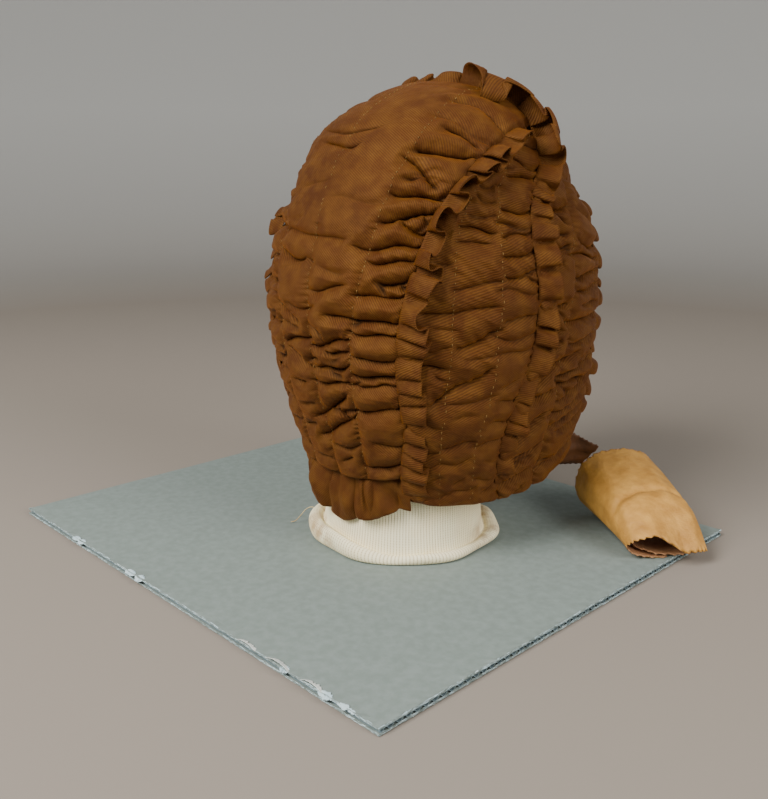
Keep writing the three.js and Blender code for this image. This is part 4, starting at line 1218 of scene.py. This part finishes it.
# %% [markdown]
# The post is foam with a cotton cover. It is mostly hidden, so it is remeshed from a merged copy of its
# CAD solid, which softens its edges, and the cover's slack is pushed into it with a few shallow waves.

# %% Padded post
POST_VOXEL = 3.5
WELD_WITHIN = 0.02
SLACK_BEYOND = 0.04  # metres from the post's axis
SLACK_ABOVE = 0.13  # metres above the table


def only(piece):
    """Makes one object the active and the only selected one."""
    bpy.ops.object.select_all(action="DESELECT")
    piece.select_set(True)
    bpy.context.view_layer.objects.active = piece


def modified(piece, name, kind, **settings):
    """Adds a modifier with its settings to the active object, and applies it."""
    modifier = piece.modifiers.new(name, kind)
    for key, value in settings.items():
        setattr(modifier, key, value)
    bpy.ops.object.modifier_apply(modifier=name)


def make_post():
    piece = bpy.data.objects.new("padded_post_cover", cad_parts["padded_post"].data.copy())
    bpy.context.scene.collection.objects.link(piece)
    only(piece)
    bpy.ops.object.mode_set(mode="EDIT")
    bpy.ops.mesh.select_all(action="SELECT")
    bpy.ops.mesh.remove_doubles(threshold=WELD_WITHIN * MM)
    bpy.ops.object.mode_set(mode="OBJECT")
    modified(piece, "even mesh", "REMESH", mode="VOXEL", voxel_size=POST_VOXEL * MM)
    modified(piece, "soft edges", "SMOOTH", iterations=4)
    places = np.empty(len(piece.data.vertices) * 3)
    piece.data.vertices.foreach_get("co", places)
    places = places.reshape(-1, 3)
    x, y, z = (places - NECK).T
    angle = np.arctan2(y, x)
    slack = 0.5 * np.sin(9 * angle + z * 60) + 0.3 * np.sin(17 * angle - z * 35)
    radius = np.hypot(x, y)
    outward = np.stack([x, y, z * 0], -1) / (radius[:, None] + 1e-9)
    on_side = (radius > SLACK_BEYOND) & (z > SLACK_ABOVE)
    places -= outward * (0.8 + slack)[:, None] * MM * on_side[:, None]
    piece.data.vertices.foreach_set("co", places.ravel())
    piece.data.materials.clear()
    piece.data.materials.append(cover)
    bpy.ops.object.shade_smooth()
    declare(piece, "padded_post")


make_post()

# %% [markdown]
# The knit tube is drawn as a closed profile turned round the post. Its wales are real ridges in the
# mesh, 1.8 mm apart, and its lower edge flares and rolls up on itself, as the cut edge of a jersey does.

# %% Knit tube
SLEEVE_INSIDE = 47.3
SLEEVE_OUTSIDE = 48.8
SLEEVE_TOP = 120.0
HEM_RADIUS = 59.0
HEM_SHIFT = (3.0, -3.0)
HEM_STRETCH = 3.5
HEM_STRETCH_TURN = math.radians(46)
HEM_TALL_TURN = math.radians(50)
WALE_COUNT = 172
SAMPLES_PER_WALE = 4
SLEEVE_PROFILE = [
    (SLEEVE_INSIDE, SLEEVE_TOP), (SLEEVE_INSIDE, 24), (SLEEVE_INSIDE + 3, 12), (HEM_RADIUS - 5, FOOT + 0.4),
    (HEM_RADIUS - 2, FOOT), (HEM_RADIUS, FOOT + 2.5), (HEM_RADIUS, FOOT + 6), (HEM_RADIUS - 2.5, FOOT + 8.6),
    (HEM_RADIUS - 5.5, FOOT + 8.4), (HEM_RADIUS - 7.5, FOOT + 6.4), (SLEEVE_OUTSIDE + 2.2, 12.5),
    (SLEEVE_OUTSIDE + 1.2, 20), (SLEEVE_OUTSIDE + 0.3, 32), (SLEEVE_OUTSIDE, 60),
    (SLEEVE_OUTSIDE, SLEEVE_TOP),
]


def round_profile(points, passes=3):
    """Cuts the corners of a closed polygon until it is a smooth loop."""
    p = np.array(points, float)
    for _ in range(passes):
        following = np.roll(p, -1, axis=0)
        p = np.stack([p * 0.75 + following * 0.25, p * 0.25 + following * 0.75], axis=1).reshape(-1, 2)
    return p


def make_sleeve():
    profile = round_profile(SLEEVE_PROFILE)
    angle = np.linspace(0, 2 * np.pi, WALE_COUNT * SAMPLES_PER_WALE, endpoint=False)[:, None]
    wale = np.abs(np.sin(angle * WALE_COUNT / 2)) ** 0.8
    r, z = profile.T[:, None, :]
    is_outer = np.clip((r - (SLEEVE_INSIDE + 0.8)) / 0.5, 0, 1)
    sway = 0.5 * np.sin(3 * angle + 1) + 0.4 * np.sin(7 * angle + z / 9)
    flare = ramp(r, SLEEVE_OUTSIDE, HEM_RADIUS)
    rough = np.sin(7 * angle + z / 6) + 0.6 * np.sin(11 * angle - z / 4 + 2)
    ridge = is_outer * (0.34 - 0.2 * flare) * (wale - 0.6)
    radius = r + ridge + sway * flare * 2 + is_outer * 0.25 * sway + 0.3 * rough * flare
    x = radius * np.cos(angle)
    y = radius * np.sin(angle)
    turn = (math.cos(HEM_STRETCH_TURN), math.sin(HEM_STRETCH_TURN))
    reach = flare * HEM_STRETCH * (x * turn[0] + y * turn[1]) / HEM_RADIUS
    about = angle - HEM_TALL_TURN
    tall = 0.45 * np.cos(about) + 0.3 * np.cos(2 * about) + 0.12 * np.sin(5 * angle) + 0.06 * rough
    lift = np.clip(z - FOOT - 1, 0, 10) * np.clip((r - SLEEVE_OUTSIDE + 0.5) / 3, 0, 1) * tall
    points = np.stack([
        x + flare * HEM_SHIFT[0] + reach * turn[0],
        y + flare * HEM_SHIFT[1] + reach * turn[1],
        z + lift + 0 * angle,
    ], -1)
    ids = np.pad(np.arange(points[..., 0].size).reshape(points.shape[:2]), (0, 1), mode="wrap")
    cloth = np.stack(np.broadcast_arrays(angle * SLEEVE_OUTSIDE, lengths_along(profile)), -1)
    new_piece("knit_sleeve_tube", points.reshape(-1, 3), skin_faces(ids), cloth.reshape(-1, 2), [knit],
              "knit_sleeve")


make_sleeve()


# %% [markdown]
# The stand is a sheet of corrugated card: two flat liners with a fluted paper glued between them. The
# flutes run to the left and right, so they show as small openings along the near right edge, and as
# crushed hollows along the worn left edge. The liners are cubes cut to size, and the points of their
# two worn edges are pulled about at random.

# %% Card liners
LINER = 0.8
LINER_GAP = 0.05
LINER_TRIM = 0.0008
LINER_CUTS = 90
WORN_WITHIN = 0.0012
WORN_BY = 0.0005


def settle(piece, name, node_name=None):
    only(piece)
    bpy.ops.object.transform_apply(location=True, rotation=True, scale=True)
    piece.name = name
    return declare(piece, node_name)


def make_liner(name, bottom, top, seed, node_name=None):
    middle = [(a + b) / 2 for a, b in zip(board_low, board_high)]
    bpy.ops.mesh.primitive_cube_add(size=1, location=(middle[0], middle[1], (bottom + top) * MM / 2))
    piece = bpy.context.object
    wide, deep = (board_high[k] - board_low[k] - LINER_TRIM for k in (0, 1))
    piece.scale = (wide, deep, (top - bottom) * MM)
    bpy.ops.object.transform_apply(location=True, rotation=True, scale=True)
    bpy.ops.object.mode_set(mode="EDIT")
    bpy.ops.mesh.select_all(action="SELECT")
    bpy.ops.mesh.subdivide(number_cuts=LINER_CUTS)
    bpy.ops.mesh.select_all(action="DESELECT")
    bpy.ops.object.mode_set(mode="OBJECT")
    for vertex in piece.data.vertices:
        x, y, _ = vertex.co
        vertex.select = y > board_high[1] - WORN_WITHIN or x < board_low[0] + WORN_WITHIN
    bpy.ops.object.mode_set(mode="EDIT")
    bpy.ops.transform.vertex_random(offset=WORN_BY, uniform=0.4, normal=0.0, seed=seed)
    bpy.ops.object.mode_set(mode="OBJECT")
    for vertex in piece.data.vertices:
        vertex.co.z = max(vertex.co.z, 0.0)
    piece.data.materials.append(card)
    piece.data.materials.append(cut_paper)
    for face in piece.data.polygons:
        face.material_index = 1 if abs(face.normal.z) < 0.5 else 0
    settle(piece, name, node_name)


make_liner("card_top", BOARD_TOP - LINER, BOARD_TOP - LINER_GAP, 3, "board")
make_liner("card_bottom", LINER_GAP, LINER, 4)

# %% [markdown]
# The fluted paper between the liners has one even wave. One flute is made by drawing an edge out in
# steps, a row of copies makes the sheet, and the paper's thickness is added last.

# %% Fluted core
CORE_PAPER = 0.35
CORE_RECESS = 0.3
CORE_CLEARANCE = 0.1
FLUTE_PITCH = 5.8
FLUTE_STEPS = 8


def make_core():
    rise = (BOARD_TOP - 2 * LINER - CORE_PAPER - CORE_CLEARANCE) / 2
    step = FLUTE_PITCH / FLUTE_STEPS
    left = board_low[0] + CORE_RECESS * MM
    right = board_high[0] - CORE_RECESS * MM
    near = board_low[1] + CORE_RECESS * MM
    bpy.ops.mesh.primitive_plane_add(size=1)
    piece = bpy.context.object
    bpy.ops.object.mode_set(mode="EDIT")
    bpy.ops.mesh.select_all(action="SELECT")
    bpy.ops.mesh.delete(type="ONLY_FACE")
    bpy.ops.object.mode_set(mode="OBJECT")
    for vertex in piece.data.vertices:
        vertex.select = vertex.co.y > 0
    for edge in piece.data.edges:
        edge.select = all(piece.data.vertices[i].co.y > 0 for i in edge.vertices)
    bpy.ops.object.mode_set(mode="EDIT")
    bpy.ops.mesh.select_mode(type="VERT")
    bpy.ops.mesh.delete(type="VERT")
    bpy.ops.mesh.select_all(action="SELECT")
    bpy.ops.transform.resize(value=(right - left, 1, 1))
    bpy.ops.transform.translate(value=((left + right) / 2, near + 0.5, (BOARD_TOP / 2 - rise) * MM))
    for k in range(FLUTE_STEPS):
        change = math.cos(2 * math.pi * k / FLUTE_STEPS) - math.cos(2 * math.pi * (k + 1) / FLUTE_STEPS)
        onward = (0, step * MM, rise * change * MM)
        bpy.ops.mesh.extrude_region_move(TRANSFORM_OT_translate={"value": onward})
    bpy.ops.object.mode_set(mode="OBJECT")
    modified(piece, "row of flutes", "ARRAY",
             count=int((board_high[1] - near - CORE_RECESS * MM) / (FLUTE_PITCH * MM)),
             use_relative_offset=False, use_constant_offset=True,
             constant_offset_displace=(0, FLUTE_PITCH * MM, 0), use_merge_vertices=True)
    modified(piece, "paper", "SOLIDIFY", thickness=CORE_PAPER * MM, offset=0)
    piece.data.materials.append(card_core)
    settle(piece, "card_core")


make_core()

# %% [markdown]
# Along the worn left edge the top liner has split. Its white inner plies stand up as thin torn strips.
# Each strip is a fine grid whose far side is pulled about at random, which is how torn paper looks.

# %% Torn paper
PLY = 0.0002
TORN_LOWEST = 0.0003
TORN_SEED = 40
RAGGED_MARKS = 90
TORN_STRIPS = [
    # share along the left edge from the far corner, length, width, lift in mm
    (0.205, 9, 2.6, -0.6), (0.225, 7, 3.0, -1.4), (0.40, 10, 3.0, -1.4), (0.43, 8, 3.4, -1.8),
    (0.728, 16, 3.0, 1.4), (0.80, 18, 3.4, 1.8), (0.872, 15, 3.4, 1.6), (0.815, 6, 2.4, -1.6),
    (0.90, 10, 2.0, -1.4), (0.94, 12, 1.8, -0.8),
]


def make_torn(number, share, length, width, lift):
    x = board_high[0] - share * (board_high[0] - board_low[0])
    edge = board_high[1]
    middle = Vector((x, edge - WORN_WITHIN, (BOARD_TOP - 0.3) * MM))
    bpy.ops.object.select_all(action="DESELECT")
    bpy.ops.mesh.primitive_grid_add(x_subdivisions=26, y_subdivisions=6, size=1, location=middle)
    piece = bpy.context.object
    piece.scale = (length * MM, width * MM, 1)
    bpy.ops.object.transform_apply(location=True, rotation=True, scale=True)
    random = np.random.default_rng(TORN_SEED + number)
    ragged = smoothed(random.normal(0, 1, RAGGED_MARKS), 2, 0)
    for vertex in piece.data.vertices:
        out = max((vertex.co.y - middle.y) / (width * MM) + 0.5, 0.0)
        run = (vertex.co.x - x) / (length * MM) + 0.5
        shape = math.sin(math.pi * min(max(run, 0.02), 0.98)) ** 0.5
        at = int(run * 60) % RAGGED_MARKS
        inner = 0.6 + (0.7 * width + 0.8 * ragged[at]) * shape
        outer = 0.2 if lift > 0 else (0.6 * width + 0.8 * ragged[at]) * shape
        vertex.co.y = edge - (inner * (1 - out) - outer * out) * MM
        flutter = 0.2 * ragged[(at * 3) % RAGGED_MARKS] * out
        vertex.co.z += (0.75 + lift * out**1.4 + flutter) * shape * MM
        vertex.co.z = max(vertex.co.z, TORN_LOWEST)
        vertex.co.x += 0.4 * ragged[(at * 7) % RAGGED_MARKS] * out * MM
    modified(piece, "paper", "SOLIDIFY", thickness=PLY)
    piece.data.materials.append(torn_paper if lift > 0 else cut_paper)
    bpy.ops.object.shade_smooth()
    settle(piece, f"torn_paper_{number}")


for strip_number, strip in enumerate(TORN_STRIPS):
    make_torn(strip_number + 1, *strip)

# %% [markdown]
# Hand stitches hold the gathers down. They show as short, uneven yellow dashes about 4 mm apart along
# each stitch line. Each is a thin arch of thread over the cloth, and all of one panel's make one mesh.

# %% Stitches
STITCH_LENGTH = 1.5
STITCH_PITCH = 3.4
STITCH_RADIUS = 0.15
STITCH_ARCH = np.array([(0, -0.15), (0.3, 0.35), (0.7, 0.35), (1, -0.15)])  # share of its length, lift
TUBE_SIDES = 5


def thread_tube(spots, normals, radius, first):
    """Points and faces of a thin tube through the spots, numbered from first."""
    along = unit(np.gradient(spots, axis=0))
    side = unit(np.cross(along, normals))
    out = np.cross(side, along)
    turn = 2 * math.pi * np.arange(TUBE_SIDES) / TUBE_SIDES
    rings = out[:, None] * np.cos(turn)[None, :, None] + side[:, None] * np.sin(turn)[None, :, None]
    points = (spots[:, None] + rings * radius).reshape(-1, 3)
    faces = []
    for ring in range(len(spots) - 1):
        for k in range(TUBE_SIDES):
            a = first + ring * TUBE_SIDES + k
            b = first + ring * TUBE_SIDES + (k + 1) % TUBE_SIDES
            faces.append((a, b, b + TUBE_SIDES, a + TUBE_SIDES))
    last = first + (len(spots) - 1) * TUBE_SIDES
    faces.append(tuple(first + k for k in range(TUBE_SIDES - 1, -1, -1)))
    faces.append(tuple(last + k for k in range(TUBE_SIDES)))
    return points, faces


def make_stitches(name, formed, seed):
    random = np.random.default_rng(seed)
    skin = formed["skin"]
    normal = faced(normals_of(skin), formed["normal"])
    points = []
    faces = []
    for column in range(formed["columns"], skin.shape[0] - 1, formed["columns"]):
        line = skin[column]
        reach = lengths_along(line)
        at = reach[-1] * 0.01
        while at < reach[-1] * 0.99:
            here = at + STITCH_LENGTH * random.uniform(0.6, 1.2) * STITCH_ARCH[:, 0]
            spots = at_reach(here, reach, line)
            out = unit(at_reach(here, reach, normal[column]))
            aside = unit(np.cross(unit(spots[-1] - spots[0]), out)) * random.normal(0, 0.35)
            first = len(STITCH_ARCH) * TUBE_SIDES * len(points)
            more, rings = thread_tube(spots + out * STITCH_ARCH[:, 1:] + aside, out, STITCH_RADIUS, first)
            points.append(more)
            faces += rings
            at += STITCH_PITCH * (random.uniform(0.8, 1.4) + (random.uniform() < 0.12))
    points = np.concatenate(points)
    new_piece(name, on_its_side(points, name), faces, np.zeros((len(points), 2)), [thread])


STITCHES = {"back_panel": ("back_stitches", 61), "side_panel_right": ("side_stitches_right", 62),
            "side_panel_left": ("side_stitches_left", 63), "front_band": ("band_stitches", 64)}
for panel_name, (stitches_name, seed) in STITCHES.items():
    make_stitches(stitches_name, forms[panel_name], seed)

# %% [markdown]
# One end of the knit's yarn has come loose at the rim's left side and hangs down to the card. It is
# the same thin tube as a stitch, drawn along a short curve.

# %% Loose yarn
YARN_PATH = [(48, 32, 13), (52, 35, 16), (56, 37, 14), (59, 40, 9), (61, 43, 5.6), (63, 45, 4.9)]
YARN_RADIUS = 0.3
YARN_SPOTS = 40
yarn_spots = at_share(smooth_line(YARN_PATH), np.linspace(0, 1, YARN_SPOTS))
yarn_up = np.tile(UP, (YARN_SPOTS, 1)) + 0.01
yarn_points, yarn_faces = thread_tube(yarn_spots, yarn_up, YARN_RADIUS, 0)
new_piece("loose_yarn", yarn_points, yarn_faces, np.zeros((len(yarn_points), 2)), [knit])

# %% [markdown]
# The floor is a wide, plain sheet that turns up softly all round, as a studio's paper does, so that no
# horizon shows from any side. It and the lights aren't part of the object. Its paper is darker and warmer
# near the middle, where it lies flat, and pale further out, where it turns up.

# %% Floor and backdrop
FLOOR_RADIUS = 3.2
FLOOR_WALL = 3.0
FLOOR_BELOW = 0.0004
FLOOR_BEND = 1.6
paper, paper_place = new_material("pale backdrop paper")
away = node(paper, "VectorMath", {0: paper_place}, operation="LENGTH")["Value"]
tone = painted(paper, "8f867c", [(away, 1.1, 2.7, 1.0, "d6d6d3")])
finished(paper, {"Roughness": 0.9, "Base Color": tone})
bpy.ops.object.select_all(action="DESELECT")
bpy.ops.mesh.primitive_cylinder_add(vertices=96, radius=FLOOR_RADIUS, depth=FLOOR_WALL,
                                    location=(0, 0, FLOOR_WALL / 2 - FLOOR_BELOW))
floor = bpy.context.object
floor.name = "floor"
bpy.ops.object.transform_apply(location=True, rotation=True, scale=True)
bpy.ops.object.mode_set(mode="EDIT")
bpy.ops.mesh.select_mode(type="FACE")
bpy.ops.mesh.select_all(action="DESELECT")
bpy.ops.object.mode_set(mode="OBJECT")
for face in floor.data.polygons:
    face.select = face.normal.z > 0.5
bpy.ops.object.mode_set(mode="EDIT")
bpy.ops.mesh.delete(type="ONLY_FACE")
bpy.ops.object.mode_set(mode="OBJECT")
modified(floor, "soft corner", "BEVEL", width=FLOOR_BEND, segments=20, angle_limit=math.radians(60))
bpy.ops.object.shade_smooth()
floor.data.materials.append(paper)

# %% [markdown]
# Two large soft lights stand to the left and right of the camera, the left one stronger, and a dim grey
# room fills the shadows.

# %% Lights
LIGHTS = [
    # name, steps left, toward the camera, and up from the stand in metres, size, watts
    ("key_light", 0.95, 0.85, 1.0, 0.8, 42.0),
    ("fill_light", -1.0, 0.9, 0.6, 0.8, 17.0),
]
room = bpy.data.worlds.new("room")
bpy.context.scene.world = room
room.use_nodes = True
room.node_tree.nodes["Background"].inputs["Color"].default_value = linear("d9dadb")
room.node_tree.nodes["Background"].inputs["Strength"].default_value = 0.5
toward_camera = -CAMERA_AIM.normalized()
to_left = Vector((-CAMERA_AIM.y, CAMERA_AIM.x, 0)).normalized()
centre = Vector((float(NECK[0]), float(NECK[1]), 0.14))
for light_name, left, near, up, size, watts in LIGHTS:
    light_data = bpy.data.lights.new(light_name, "AREA")
    light_data.energy = watts
    light_data.size = size
    light_data.color = (1.0, 0.97, 0.93)
    light = bpy.data.objects.new(light_name, light_data)
    bpy.context.scene.collection.objects.link(light)
    light.location = centre + to_left * left + toward_camera * near + Vector((0, 0, up))
    light.rotation_euler = (centre - light.location).to_track_quat("-Z", "Y").to_euler()
print("lights:", [row[0] for row in LIGHTS])
